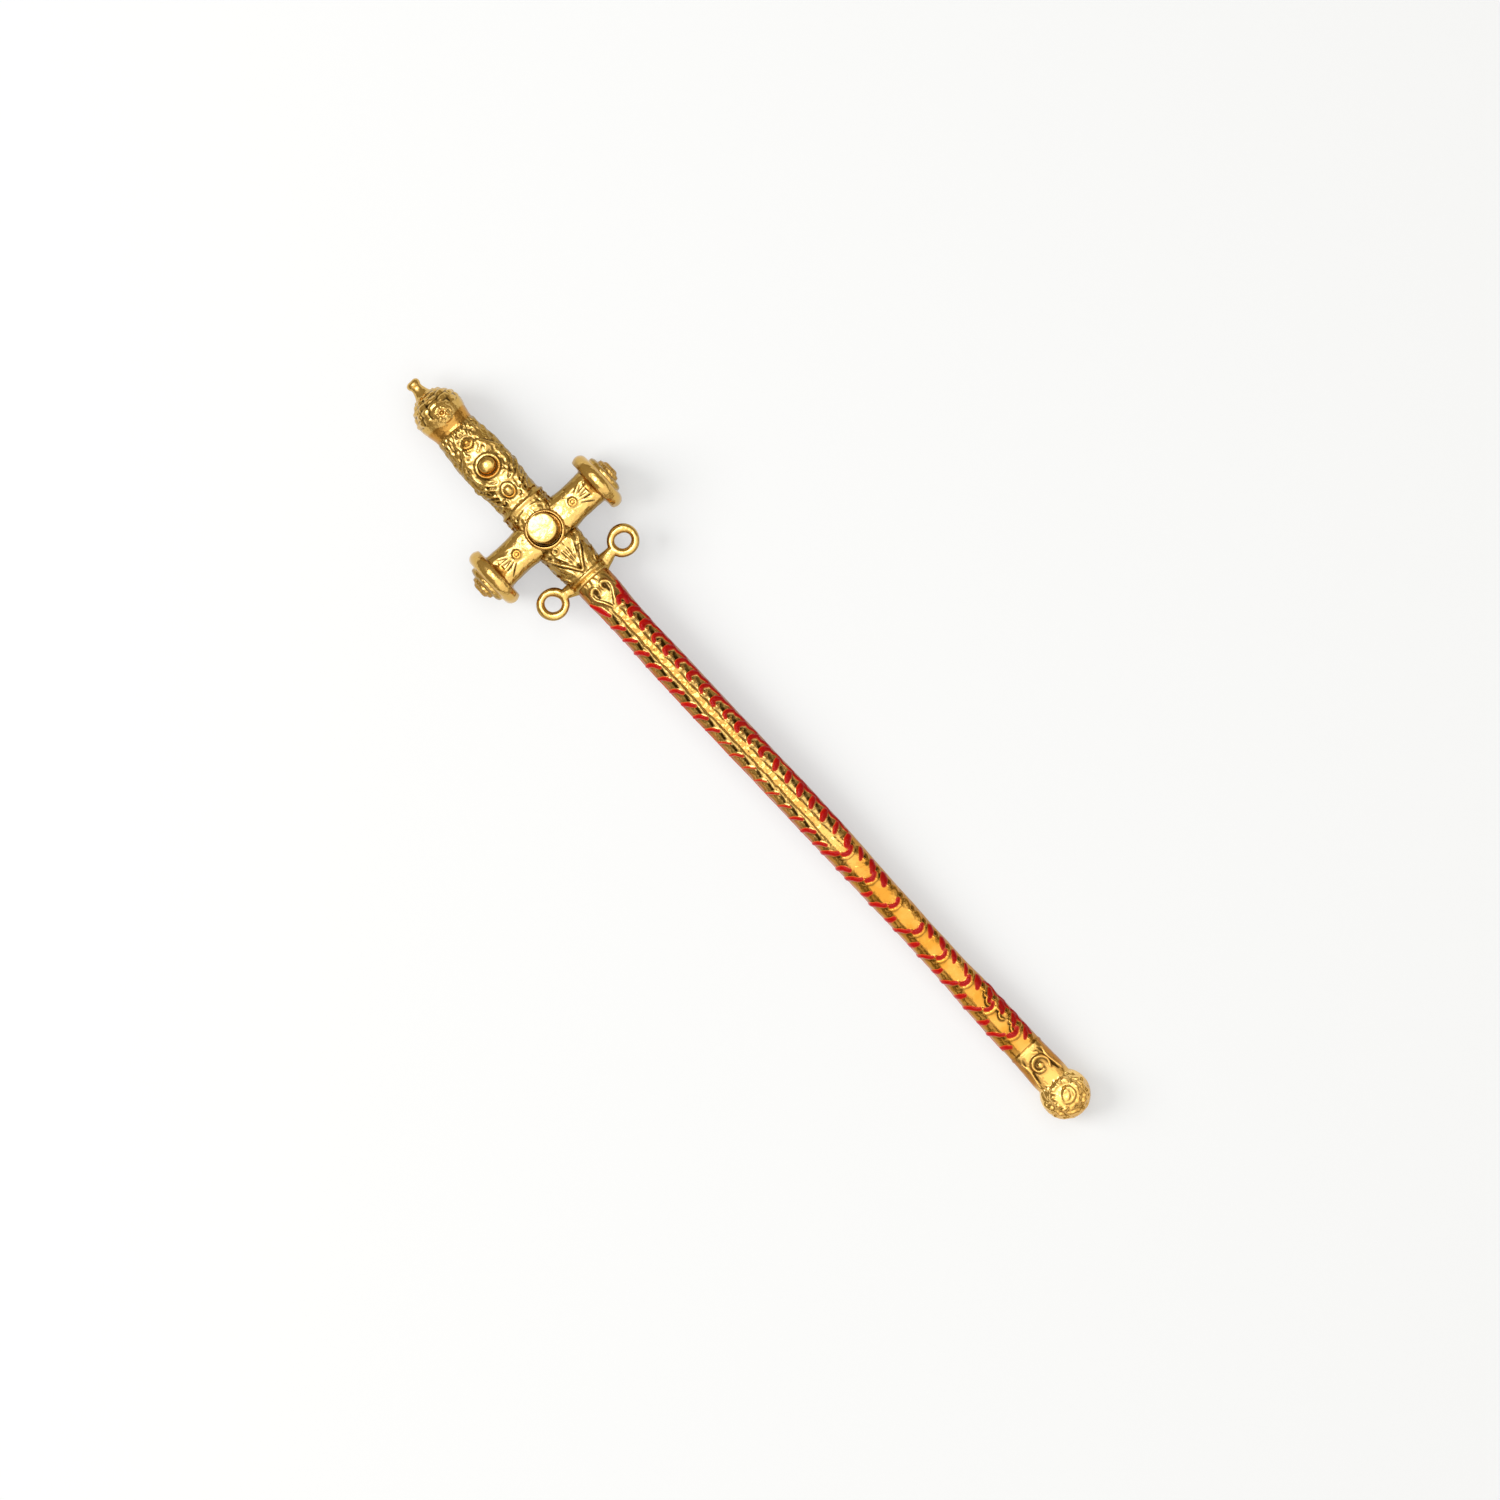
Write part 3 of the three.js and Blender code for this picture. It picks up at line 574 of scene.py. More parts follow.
rosette_outline = [(0, -0.9), (1.15, -0.9), (1.25, -0.55), (1.1, -0.32), (0.75, -0.12), (0.5, -0.02),
                   (0.36, -0.16), (0.26, -0.1), (0.16, 0.02), (0, 0.06)]
rosette_foot = np.array([POMMEL_X + 0.15, sideways(POMMEL_X) + 0.2, POMMEL_DIAMETER / 2 + 0.02])
rosette = turned("rosette", rosette_outline, 48, 64, lambda rings: rings + rosette_foot, rosette_carving,
                 amber=lambda rings, radius: 0.8 * smooth((0.5 - radius) / 0.2))

# %% [markdown]
# ## The cross guard
#
# One bar passes through the block. Its front is flatter than its sides, so it catches the light as
# one bright plane, and each arm carries a small ringed stud with leaf strokes fanning out of it.
# The arm could be a box with a bevel; a sleeve with a squarer section gives the same soft edge and
# takes the carving.

# %% Guard bar
GUARD_SPAN = 18.3
CAP_DOME = 1.2
CAP_RIM = 1.75
ARM_REACH = GUARD_SPAN / 2 - CAP_DOME - CAP_RIM / 2
GUARD_SKEW = math.radians(0.7)
GUARD_SHIFT = 0.08
STUD_REACH = 3.85


def askew(points):
    """From the guard's frame, with its arms along the first axis, to the sword's, a little askew"""
    along, across, front = np.moveaxis(points, -1, 0)
    x, y = -across, along
    cos, sin = math.cos(GUARD_SKEW), math.sin(GUARD_SKEW)
    along_body = GUARD_X + GUARD_SHIFT + x * cos - y * sin
    return np.stack([along_body, sideways(GUARD_X) + x * sin + y * cos, front], -1)


arm_width = profile([(-ARM_REACH, 4.0), (-5.2, 3.8), (-3.6, 3.78), (-2.6, 4.05), (0, 4.2), (2.6, 4.05),
                     (3.6, 3.78), (5.2, 3.8), (ARM_REACH, 4.0)], 0.3)
arm_depth = profile([(-ARM_REACH, 3.6), (-3.6, 3.48), (-2.6, 3.8), (2.6, 3.8), (3.6, 3.48),
                     (ARM_REACH, 3.6)], 0.35)
bar = Sleeve(-ARM_REACH, ARM_REACH, 0.1, 104, arm_width, arm_depth, squareness=3.1)
bar.height += 0.03 * leafy(bar, 0.5, 19) * smooth((0.55 - np.abs(bar.turn)) / 0.1)
for side in SIDES:
    stud = side * STUD_REACH
    for lean, reach in ((-0.8, 1.75), (-0.3, 2.1), (0.22, 2.1), (0.72, 1.9)):
        start = (stud + side * 0.62, 0.1 + lean * 0.5)
        leaf = [start, (stud + side * 1.25, 0.1 + lean * 1.0), (stud + side * reach, 0.1 + lean * 1.45)]
        bar.stroke(leaf, 0.28, 0.15, ends=(0.4, 1, 0.5))
        # Beside each leaf lies a sunk slit darkened with painted shade, darkest beside the first two leaves.
        bar.stroke([(a, b - 0.23) for a, b in leaf], 0.26, -0.05, shade_and_stain=0.95 if lean < 0 else 0.5)
    bar.ring(stud, 0.1, 0.36, 0.3, 0.22, amber=0.9)
    bar.bead(stud, 0.1, 0.2, 0.2)
    # Round the stud lies amber with painted dark shade.
    bar.tint(stud, 0.1, 0.5, 1.0, shade_and_stain=0.72)
guard_bar = ring_solid("guard_bar", askew(bar.rings(grain=0.012, grain_size=0.4, seed=13)), bar.fields())

# %% [markdown]
# Each cap is a thick bead-like rim with a stepped, domed top of leafy rings. It is one turned form
# on the arm's end, and the carving runs round it.

# %% Caps
DOME_FOOT = CAP_RIM / 2


def cap_outline():
    bead = CAP_RIM / 2
    underside = [(0, -bead * 1.7), (1.75, -bead * 1.6), (1.9, -bead * 1.2), (2.1, -bead * 0.8)]
    rim = arc(bead * 0.93, -52, 78, 7, (CAP_DIAMETER / 2 - bead * 0.93, 0))
    dome = [(2.16, DOME_FOOT * 0.95), (2.1, DOME_FOOT + 0.12), (2.04, DOME_FOOT + 0.3),
            (1.72, DOME_FOOT + 0.46), (1.38, DOME_FOOT + 0.5), (1.3, DOME_FOOT + 0.62),
            (1.24, DOME_FOOT + 0.82), (0.96, DOME_FOOT + 0.94), (0.86, DOME_FOOT + 1.04),
            (0.7, DOME_FOOT + 1.16), (0.35, DOME_FOOT + 1.2), (0, DOME_FOOT + 1.2)]
    return underside + rim + dome


def cap_carving(along, turn, radius, rings):
    above = smooth((rings[..., 2] - DOME_FOOT) / 0.2)
    leaves = np.abs(np.cos(turn * 9 + 4 * rings[..., 2])) ** 0.8
    rough = lumps(rings, 0.4, 41)
    dents = 0.035 * lumps(rings, 1.1, 43)
    return above * (0.05 * leaves - 0.05 + 0.025 * rough) * smooth(radius / 0.6) + dents * (1 - above)


def cap_place(side):
    def place(rings):
        x, y, z = np.moveaxis(rings, -1, 0)
        return askew(np.stack([side * (ARM_REACH + z), x, y], -1))
    return place


def cap_amber(rings, radius):
    height = rings[..., 2]
    return 0.9 * smooth((-0.55 - height) / 0.15) + 0.25 * smooth((height - DOME_FOOT - 0.4) / 0.3)


caps = [turned(f"cap_{k}", cap_outline(), 96, 108, cap_place(side), cap_carving, seed=45 + k,
               amber=cap_amber)
        for k, side in enumerate(SIDES)]

# %% [markdown]
# The boss on the block is a round stone of the same metal: a low dome in a bezel, polished where
# fingers rub it. On the back there is only the caster's low pad.

# %% Boss and back pad
BOSS_RADIUS = 1.56
boss_outline = [(0, -1.3), (BOSS_RADIUS + 0.5, -1.3), (BOSS_RADIUS + 0.52, -0.5), (BOSS_RADIUS + 0.46, 0.12),
                (BOSS_RADIUS + 0.3, 0.27), (BOSS_RADIUS + 0.12, 0.16), (BOSS_RADIUS + 0.03, 0.12),
                (BOSS_RADIUS - 0.01, 0.4), (BOSS_RADIUS - 0.02, 0.78), (BOSS_RADIUS - 0.12, 0.95),
                (BOSS_RADIUS - 0.5, 1.0), (0.4, 1.03), (0, 1.03)]
boss_foot = np.array([GUARD_X + 0.12, sideways(GUARD_X) - 0.08, hilt_depth(GUARD_X) / 2 - 0.02])
BOSS_LEAN = 0.36


def boss_place(rings):
    """Leans the stone towards the peg, so that its wall shows on the other side"""
    lean = BOSS_LEAN * smooth((rings[..., 2] - 0.12) / 0.8)
    return rings + boss_foot - np.stack([lean, 0.3 * lean, 0 * lean], -1)


def boss_painted_shadow(turn, radius):
    """Painted shadow beside the stone, on the side away from the peg"""
    beside = smooth((radius - BOSS_RADIUS + 0.06) / 0.04) * smooth((BOSS_RADIUS + 0.3 - radius) / 0.12)
    return 0.85 * beside * smooth(np.cos(turn + 0.25) + 0.1)


boss = turned("boss", boss_outline, 66, 84, boss_place, grain=0.016, seed=51,
              carve=lambda along, turn, radius, rings: 0.02 * lumps(rings, 0.8, 53), shade_and_stain=boss_painted_shadow,
              amber=lambda rings, radius: 0.5 * smooth((radius - BOSS_RADIUS - 0.04) / 0.08))
pad_outline = [(0, -0.8), (1.6, -0.8), (1.62, -0.1), (1.5, 0.18), (1.2, 0.28), (0.6, 0.3), (0, 0.3)]
pad_foot = np.array([GUARD_X, sideways(GUARD_X), -hilt_depth(GUARD_X) / 2])
pad = turned("back_pad", pad_outline, 30, 48, lambda rings: pad_foot - rings * [1, -1, 1],
             grain=0.02, seed=55)

# %% [markdown]
# ## Hanging loops
#
# The loops are cast rings of thick wire, slightly out of round, on a short neck. A torus would look
# machined, so the ring's wire grows and shrinks a little on its way round.

# %% Loops
LOOP_HOLE, LOOP_WIRE, LOOP_SPREAD, LOOP_LIFT = 1.62, 0.88, 9.5, 0.3
LOOP_LEAN = 0.28


def loop(name, side, seed):
    turn, wire_turn = np.meshgrid(np.linspace(0, 2 * math.pi, 88, endpoint=False),
                                  np.linspace(0, 2 * math.pi, 26, endpoint=False), indexing="ij")
    radius = (LOOP_HOLE + LOOP_WIRE) / 2 * (1 + 0.025 * np.cos(2 * turn + seed))
    wire = LOOP_WIRE / 2 * (1 + 0.07 * np.sin(turn * 2 + seed) + 0.05 * np.sin(turn * 3 + 2 * seed))
    out = radius + wire * np.cos(wire_turn)
    rings = np.stack([out * np.cos(turn), out * np.sin(turn), wire * np.sin(wire_turn)], -1)
    rings += 0.02 * lumps(rings, 0.7, seed)[..., None]
    rings += np.array([LOOP_X - LOOP_LEAN, 0.1 + side * LOOP_SPREAD / 2, LOOP_LIFT])
    inner = smooth(-np.cos(wire_turn) * 2)
    trace = 0.9 * inner * smooth(np.cos(turn - math.radians(65)) * 3 - 2) if side > 0 else 0 * turn
    amber = np.maximum(trace, 0.25 * inner)
    fields = {"paint": np.full_like(turn, -1.0), "amber": amber, "hollow_shade": 0 * turn}
    return ring_solid(name, rings, fields, ring_of_rings=True)


def loop_neck(name, side):
    start, end = 1.7, LOOP_SPREAD / 2 - LOOP_HOLE / 2 + side * 0.1 - 0.12
    outline = [(0, start), (0.95, start), (0.84, start + 0.35), (0.62, (start + end) / 2 + 0.15),
               (0.46, end - 0.3), (0.38, end - 0.1), (0, end)]
    def place(rings):
        leaning = rings[..., [0, 2, 1]] * [-side, side, 0.85]
        leaning[..., 0] -= LOOP_LEAN * smooth((rings[..., 2] - start) / (end - start))
        return leaning + np.array([LOOP_X, 0, LOOP_LIFT])
    return turned(name, outline, 30, 36, place, grain=0.03, seed=61)


loops = [loop(f"loop_{k}", side, 3 + k) for k, side in enumerate(SIDES)]
necks = [loop_neck(f"loop_neck_{k}", side) for k, side in enumerate(SIDES)]

# %% [markdown]
# ## The scabbard
#
# The scabbard is one more sleeve. Down its upper half runs a narrow ridge with a pebbled face, and
# the lower half is broader and smoother. The painted scrolls repeat: hooks hang from one edge,
# strokes rise from the other, one every 1.75 mm, so both rows are loops with a little bad luck in
# each stroke, as a brush gives. Shallow scoops lie between them, beside the ridge, darkened with
# painted shade.

# %% Scabbard sleeve
SCROLL_PITCH = 1.747
RIDGE_END = 62
scabbard_width = profile([
    (26.4, 3.7), (LOCKET_X, 4.0), (28.8, 3.94), (30, 3.82), (31.5, 3.58), (35, 3.48), (39, 3.66),
    (48, 3.68), (52, 3.6), (60, 3.58), (65, 3.42), (70, 3.28), (73, 3.16), (81, 3.16), (83, 3.36),
    (87, 3.48), (CHAPE_X - 0.3, 3.6), (93, 3.72), (95, 3.9), (TIP_X, 3.5)], 0.5)


def scabbard_seam(x):
    return band(x, CHAPE_X - 0.12, 0.34, 0.07)


scabbard = Sleeve(26.4, TIP_X - 0.6, 0.118, 128, lambda x: scabbard_width(x) + scabbard_seam(x),
                  lambda x: scabbard_width(x) * 0.845 + scabbard_seam(x))
scabbard_y = scabbard.s - scabbard.reach(scabbard.x, 0 * scabbard.x - 0.1)
ridge_fade = smooth((scabbard.x - 30.2) / 1.2) * smooth((RIDGE_END + 5 - scabbard.x) / 8)
scabbard_place = np.stack([scabbard.x, scabbard.s, 0 * scabbard.s], -1)
ragged = 0.46 + 0.06 * lumps(scabbard_place, 0.6, 69)
ridge = smooth((ragged - np.abs(scabbard_y)) / 0.2) * ridge_fade
pebbles = lumps(scabbard_place, 0.26, 71)
scabbard.height += ridge * (0.15 + 0.045 * pebbles)
face_fade = smooth((scabbard.x - RIDGE_END + 3) / 8) * smooth((CHAPE_X - scabbard.x) / 0.6)
scabbard.height += face_fade * 0.07 * smooth((1.0 - np.abs(scabbard_y - 0.25)) / 0.3)
scabbard.amber = np.maximum(scabbard.amber, np.maximum(face_fade, 0.68 * ridge))
chape_tone = 0.54 * smooth((scabbard.x - CHAPE_X) / 0.3)
scabbard.amber = np.maximum(scabbard.amber, chape_tone)

# %% [markdown]
# The enamel only has to cover the middle of each raised stroke, and its gold rim stays bare. The
# sleeve's paint field holds how far a point lies inside the enamel, in millimetres, so the material
# can draw a sharp edge between two points of the mesh.

# %% Painted scrolls
SCROLL = 0.19
HOOKS_END, BLOBS_END, BEADS_END, BARE_END = 52, 64, 66, 68
BARE_BLOBS = (69.5, 75.5)
THIN_RISES = (47, 58)
hooks = np.arange(30.65, CHAPE_X - 1.2, SCROLL_PITCH)


def upper_scroll(x):
    """One scroll of the upper row: a hook with a bead, further on a short blob, then a blob and a curl"""
    size = 1 + wobble(0.16 if x < BLOBS_END else 0.28)
    painted = 0.84 + wobble(0.08)
    if x < HOOKS_END:
        hook = [(x - 0.05, 1.5), (x - 0.4, 1.12 + wobble(0.05)), (x - 0.44 + wobble(0.06), 0.72),
                (x - 0.08, 0.46)]
        scabbard.stroke(hook, 0.72 * size, SCROLL + wobble(0.03), ends=(0.9, 1, 1, 0.7), paint=painted)
        scabbard.stroke([(x + 0.18, 0.98), (x + 0.3, 0.66), (x + 0.12, 0.34)], 0.26, 0.24)
        scabbard.bead(x + 0.26 + wobble(0.04), 0.62 + wobble(0.05), 0.22, 0.3, stretch=1.1)
    elif x < BLOBS_END:
        blob = [(x - 0.4, 1.34), (x - 0.22, 0.98), (x + 0.08 + wobble(0.06), 0.56)]
        scabbard.stroke(blob, 0.86 * size, SCROLL, ends=(0.9, 1, 0.75), paint=painted)
        scabbard.stroke([(x + 0.14, 1.1), (x + 0.36, 0.62), (x + 0.2, 0.4)], 0.2, 0.2)
    else:
        edge = scabbard_width(x) / 2
        blob = [(x - 0.45, 0.82 * edge), (x - 0.05, 0.64 * edge), (x + 0.36, (0.38 + wobble(0.06)) * edge)]
        bare = BARE_BLOBS[0] < x < BARE_BLOBS[1]
        scabbard.stroke(blob, 0.84 * size, SCROLL * 0.55, ends=(0.9, 1.1, 0.6),
                        paint=0 if bare else painted)
        curl = [(x + 0.4, 0.86 * edge), (x + 0.78, 0.7 * edge), (x + 0.74, 0.5 * edge),
                (x + 0.5, 0.54 * edge)]
        scabbard.stroke(curl, 0.38, 0.22, ends=(0.6, 1, 1, 0.8))


def scoop_share(x):
    """How much is left of the scoops' depth and painted shade, which fade towards the tip"""
    return 1 if x < RIDGE_END else (0.5 if x < BARE_END else 0.15)


for x in hooks:
    shallow = scoop_share(x)
    scoop = [(x + 0.36, 1.08 + wobble(0.06)), (x + 1.08, 0.86 + wobble(0.06))]
    scabbard.stroke(scoop, 0.62, -0.12 * shallow, ends=(0.8, 1, 0.8), shade_and_stain=0.62 * shallow)
    upper_scroll(x)
CRESCENTS = [64.7 + 3.53 * k for k in range(8)]
rises = [x for x in hooks[:-1] + 1.3 if min(abs(x - c + 1.6) for c in CRESCENTS) > 0.6]
for x in rises:
    shallow = scoop_share(x)
    thin = 0.75 if THIN_RISES[0] < x < THIN_RISES[1] else 1
    scoop = [(x - 0.85, -0.87 + wobble(0.04)), (x + 0.1, -1.0 + wobble(0.04))]
    scabbard.stroke(scoop, 0.46, -0.12 * shallow, ends=(0.9, 1.1, 0.9), shade_and_stain=0.85 * shallow)
    top = 0.9 if x < BARE_END else 0.5
    rise = [(x - 0.02, -1.74), (x + 0.3 + wobble(0.08), -1.3), (x + top, -0.9 + wobble(0.06))]
    scabbard.stroke(rise, 0.66 * thin * (1 + wobble(0.25)), SCROLL * top, ends=(0.9, 1, 0.75),
                    paint=0.84 * thin)
    if x < BEADS_END:
        scabbard.bead(x + 1.04, -0.92, 0.15, 0.2)
print("scrolls on each side:", len(hooks), "paint field in mm up to", round(float(scabbard.paint.max()), 3))

# %% [markdown]
# A red line follows the upper edge on the first and last stretch, and a thinner one the lower edge.
# On the lower scabbard every second scroll throws a crescent across the face.

# %% Edge lines, crescents and gold curls
for start, end in ((29.2, 64.0), (83.5, CHAPE_X - 0.5)):
    xs = np.arange(start, end, 0.45)
    edge = [(x, 1.58 + 0.07 * math.sin(x * 2 * math.pi / SCROLL_PITCH) + wobble(0.03)) for x in xs]
    for k in range(0, len(edge) - 3, 3):
        scabbard.stroke(edge[k:k + 4], 0.56 + wobble(0.12), 0.1, ends=(1, 1.1, 1), paint=0.88)
xs = np.arange(30.5, CHAPE_X - 1, 0.6)
for k in range(0, len(xs) - 3, 3):
    low = [(x, -1.8) for x in xs[k:k + 4]]
    scabbard.stroke(low, 0.3 + wobble(0.08), 0.06, ends=(1, 1, 1), paint=0.8)
scabbard.stroke([(28.9, -1.8), (29.9, -1.46), (30.9, -1.1)], 0.9, 0.16, ends=(0.6, 1.15, 0.5), paint=0.88)
scabbard.stroke([(28.8, 1.75), (29.9, 1.5), (31.0, 1.2)], 0.8, 0.14, ends=(0.6, 1, 0.8), paint=0.86)

for x in CRESCENTS:
    body = [(x - 0.34, 0.74), (x - 0.1, 0.36), (x - 0.12, 0.0), (x - 0.3, -0.3)]
    rim = [(x - 0.28, 1.1), (x + 0.26, 0.5), (x + 0.22, -0.24), (x - 0.26, -0.88)]
    tail = [(x - 0.72, -0.62), (x - 1.0, -0.95), (x - 1.5, -1.36), (x - 1.8, -1.75)]
    scabbard.stroke(rim, 0.3, 0.26, ends=(0.5, 1, 1, 0.5))
    scabbard.stroke(body, 0.62 + wobble(0.08), 0.18, ends=(0.8, 1, 0.9), paint=0.88)
    scabbard.stroke(tail, 0.66 + wobble(0.08), 0.17, ends=(0.8, 0.9, 1.1), paint=0.88)
    scabbard.bead(x - 0.5, -0.42, 0.18, 0.24)
for x in (84.7, 86.6, 88.4):
    curl = [(x - 0.62, 1.0), (x - 0.3, 0.62), (x + 0.12, 0.72), (x + 0.2, 0.42), (x + 0.62, 0.2),
            (x + 0.86, 0.42)]
    # Beside each curl, shifted a little, lies its painted shadow.
    scabbard.stroke([(a + 0.12, b - 0.12) for a, b in curl], 0.5, 0.001, ends=(1, 1), shade_and_stain=0.5)
    scabbard.stroke(curl, 0.36, 0.3, ends=(0.8, 1, 1, 0.8))

# %% [markdown]
# The locket ends in a heart of two volutes that points along the ridge. The chape starts at a fine
# seam and carries an open volute and a leaf line along each edge.

# %% Locket and chape
# The sunk strokes beside the heart and along the chape's leaves, and the spot under the volute, are darkened
# with painted shade.
for side in SIDES:
    scabbard.stroke([(28.2, side * 0.62), (28.9, side * 0.6)], 0.5, -0.08, ends=(1, 0.8), shade_and_stain=0.7)
    heart = [(28.5, side * 0.3), (28.1, side * 0.2), (27.75, side * 0.55), (28.1, side * 1.06),
             (28.9, side * 1.02), (29.6, side * 0.62), (30.5, side * 0.1 - 0.1)]
    scabbard.stroke(heart, 0.32, 0.26, ends=(0.6, 1, 1, 1, 0.7))
    scabbard.stroke([(27.2, side * 1.1), (27.7, side * 1.4), (28.6, side * 1.5)], 0.44, -0.14, shade_and_stain=0.5)
    leaf = [(CHAPE_X + 0.5, side * 1.45), (CHAPE_X + 1.5, side * 1.2), (CHAPE_X + 2.6, side * 1.35),
            (CHAPE_X + 3.6, side * 1.6)]
    scabbard.stroke(leaf, 0.3, 0.16)
    scabbard.stroke([(CHAPE_X + 0.35, side * 1.0), (CHAPE_X + 1.0, side * 1.15)], 0.44, -0.12, shade_and_stain=0.7)
    scabbard.stroke([(CHAPE_X + 2.0, side * 1.05), (CHAPE_X + 3.3, side * 1.2)], 0.5, -0.14, shade_and_stain=0.75)
scabbard.stroke([(27.0, 0), (27.8, 0)], 1.1, 0.1)
scabbard.stroke([(CHAPE_X - 0.3, -1.8), (CHAPE_X - 0.3, 1.6)], 0.22, -0.06, ends=(1, 1), amber=1.0,
                shade_and_stain=0.5)
turns = np.radians(np.arange(40, 400, 30))
sizes = np.linspace(1.0, 0.6, len(turns))
volute = [(CHAPE_X + 1.85 + r * math.cos(a), 0.02 + r * math.sin(a)) for a, r in zip(turns, sizes)]
scabbard.stroke([(CHAPE_X + 1.6, 0.02), (CHAPE_X + 2.1, 0.02)], 0.9, -0.05, ends=(1, 1), shade_and_stain=0.3)
scabbard.stroke(volute, 0.4, 0.27, ends=(0.6, 1, 1, 0.8))
scabbard.bead(CHAPE_X + 1.9, 0.05, 0.32, 0.14)
scabbard.stroke([(CHAPE_X + 0.35, 0.2), (CHAPE_X + 0.75, 0.75)], 0.3, 0.13)
scabbard_body = ring_solid("scabbard", on_body(scabbard.rings(seed=73)), scabbard.fields())

# %% [markdown]
# The tip medallion is a flattened ball. Its face is a worn rosette: an oval heart half enclosed by a
# crescent ridge, then two rings of petals that wear away towards the tip.

# %% Tip medallion


def medallion_carving(along, turn, radius, rings):
    face = smooth((rings[..., 2] + 0.1) / 0.6)
    x, y = rings[..., 0], rings[..., 1]
    cos, sin = math.cos(SWORD_TURN), math.sin(SWORD_TURN)
    across, down = x * cos + y * sin, x * sin - y * cos
    heart = 0.14 * smooth(1.9 - 1.3 * np.hypot(across / 0.36, down / 0.68))
    facing = np.cos(turn - SWORD_TURN)
    crescent = 0.17 * np.exp(-(((radius - 0.86) / 0.14) ** 2)) * smooth(facing + 0.45)
    bend = turn + 0.45 * lumps(rings, 0.8, 81)
    worn = 0.5 + 0.6 * smooth(0.5 - facing)
    inner = 0.26 * np.abs(np.cos(bend * 5.5)) ** 0.7 * smooth((radius - 1.05) / 0.3)
    inner *= smooth((1.8 - radius) / 0.2)
    outer = 0.2 * np.abs(np.cos(bend * 8 + 0.6)) ** 0.7 * smooth((radius - 1.65) / 0.3)
    outer *= smooth((2.7 - radius) / 0.3)
    carved = heart + crescent + worn * (inner + outer)
    return face * (carved - 0.1 + 0.13 * lumps(rings, 0.46, 83))


# The amber tint grows towards the tip: a painted shade on the side away from the light.
def medallion_painted_shade(rings, radius):
    return 0.5 * smooth((rings[..., 0] + 1.2) / 2.4)


flattened = [(TIP_DIAMETER / 2 * math.cos(a) ** (2 / SQUARENESS),
              math.copysign(TIP_DEPTH / 2 * abs(math.sin(a)) ** (2 / SQUARENESS), a))
             for a in np.radians(np.linspace(-89.5, 89.5, 41))]
tip_centre = np.array([TIP_X + 0.02, sideways(TIP_X) - 0.08, 0])
medallion = turned("medallion", flattened, 92, 132, lambda rings: rings + tip_centre, medallion_carving,
                   grain=0.012, seed=85, relief_depth=0.24, amber=medallion_painted_shade)

# %% [markdown]
# ## Cast together
#
# The forms overlap where the casting is one body. Joined meshes would keep hidden faces inside, and
# a voxel remesh would blunt the carving. A union with the Manifold solver keeps both, and then only
# the creases where forms meet are relaxed a little, as metal fills a corner of the mould.

# %% Helpers that join the forms and soften their meeting lines
CREASE = math.radians(48)


def soften_creases(mesh, rounds):
    """Relaxes the points near sharp inner edges, and returns how many there are"""
    work = bmesh.new()
    work.from_mesh(mesh)
    creases = [e for e in work.edges if len(e.link_faces) == 2 and e.calc_face_angle(0) > CREASE]
    near = {v for e in creases for v in e.verts}
    for _ in range(2):
        near |= {e.other_vert(v) for v in near for e in v.link_edges}
    for _ in range(rounds):
        bmesh.ops.smooth_vert(work, verts=list(near), factor=0.5, use_axis_x=True, use_axis_y=True,
                              use_axis_z=True)
    work.to_mesh(mesh)
    work.free()
    return len(near)


# Past this station the painted side shade stops, and on the cap rims and the pommel it is less, so that
# these stay light.
UNSHADED_TIP_X = TIP_X - 3.0
CAP_RIM_BAND = (0.0063, 0.0081)


def laid_x(x):
    """Where a station of the sword lies along the row's frame, in metres"""
    return lay_down(np.array([[x, 0, 0]]))[0, 0]


def side_shade_share(mesh):
    """How much painted side shade each point gets, by how far it faces sideways; less on pommel and cap
    rims, and none on the medallion, so that these stay light
    """
    place = np.empty(3 * len(mesh.vertices), np.float32)
    mesh.vertices.foreach_get("co", place)
    x, across = place[::3], np.abs(place[1::3])
    unshaded = smooth((x - laid_x(UNSHADED_TIP_X)) / 0.001)
    at_caps = smooth((across - CAP_RIM_BAND[0]) / 0.0003) * smooth((CAP_RIM_BAND[1] - across) / 0.0002)
    at_pommel = smooth((laid_x(GRIP_X) - x) / 0.0005)
    unshaded = np.maximum(unshaded, 0.45 * np.maximum(at_caps, at_pommel))
    facing = np.empty(3 * len(mesh.vertices), np.float32)
    mesh.vertex_normals.foreach_get("vector", facing)
    return (smooth((0.88 - facing[2::3]) / 0.28) * (1 - unshaded)).astype(np.float32)


def cast_together(name, forms):
    """One closed mesh from overlapping closed forms"""
    base = forms[0]
    for form in forms[1:]:
        join = base.modifiers.new(form.name, "BOOLEAN")
        join.operation = "UNION"
        join.solver = "MANIFOLD"
        join.object = form
    shape = base.evaluated_get(bpy.context.evaluated_depsgraph_get())
    mesh = bpy.data.meshes.new_from_object(shape)
    mesh.name = name
    relaxed = soften_creases(mesh, 3)
    side_shade = side_shade_share(mesh)
    mesh.attributes.new("side_shade", "FLOAT", "POINT").data.foreach_set("value", side_shade)
    for form in forms:
        old = form.data
        bpy.data.objects.remove(form)
        bpy.data.meshes.remove(old)
    mesh.shade_smooth()
    piece = bpy.data.objects.new(name, mesh)
    bpy.context.scene.collection.objects.link(piece)
    triangles = sum(len(p.vertices) - 2 for p in mesh.polygons)
    kept = [a.name for a in mesh.attributes if a.name in ("paint", "amber", "hollow_shade", "side_shade")]
    print(name, "triangles:", triangles, "relaxed points:", relaxed, "fields:", sorted(kept))
    return piece


gilded_hilt = cast_together("gilded_hilt", [hilt_body, pommel, peg, rosette, guard_bar, *caps, boss, pad,
                                            *necks, *loops])
painted_scabbard = cast_together("painted_scabbard", [scabbard_body, medallion])
for piece in (gilded_hilt, painted_scabbard):
    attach(piece, "root")
    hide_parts(NODE)
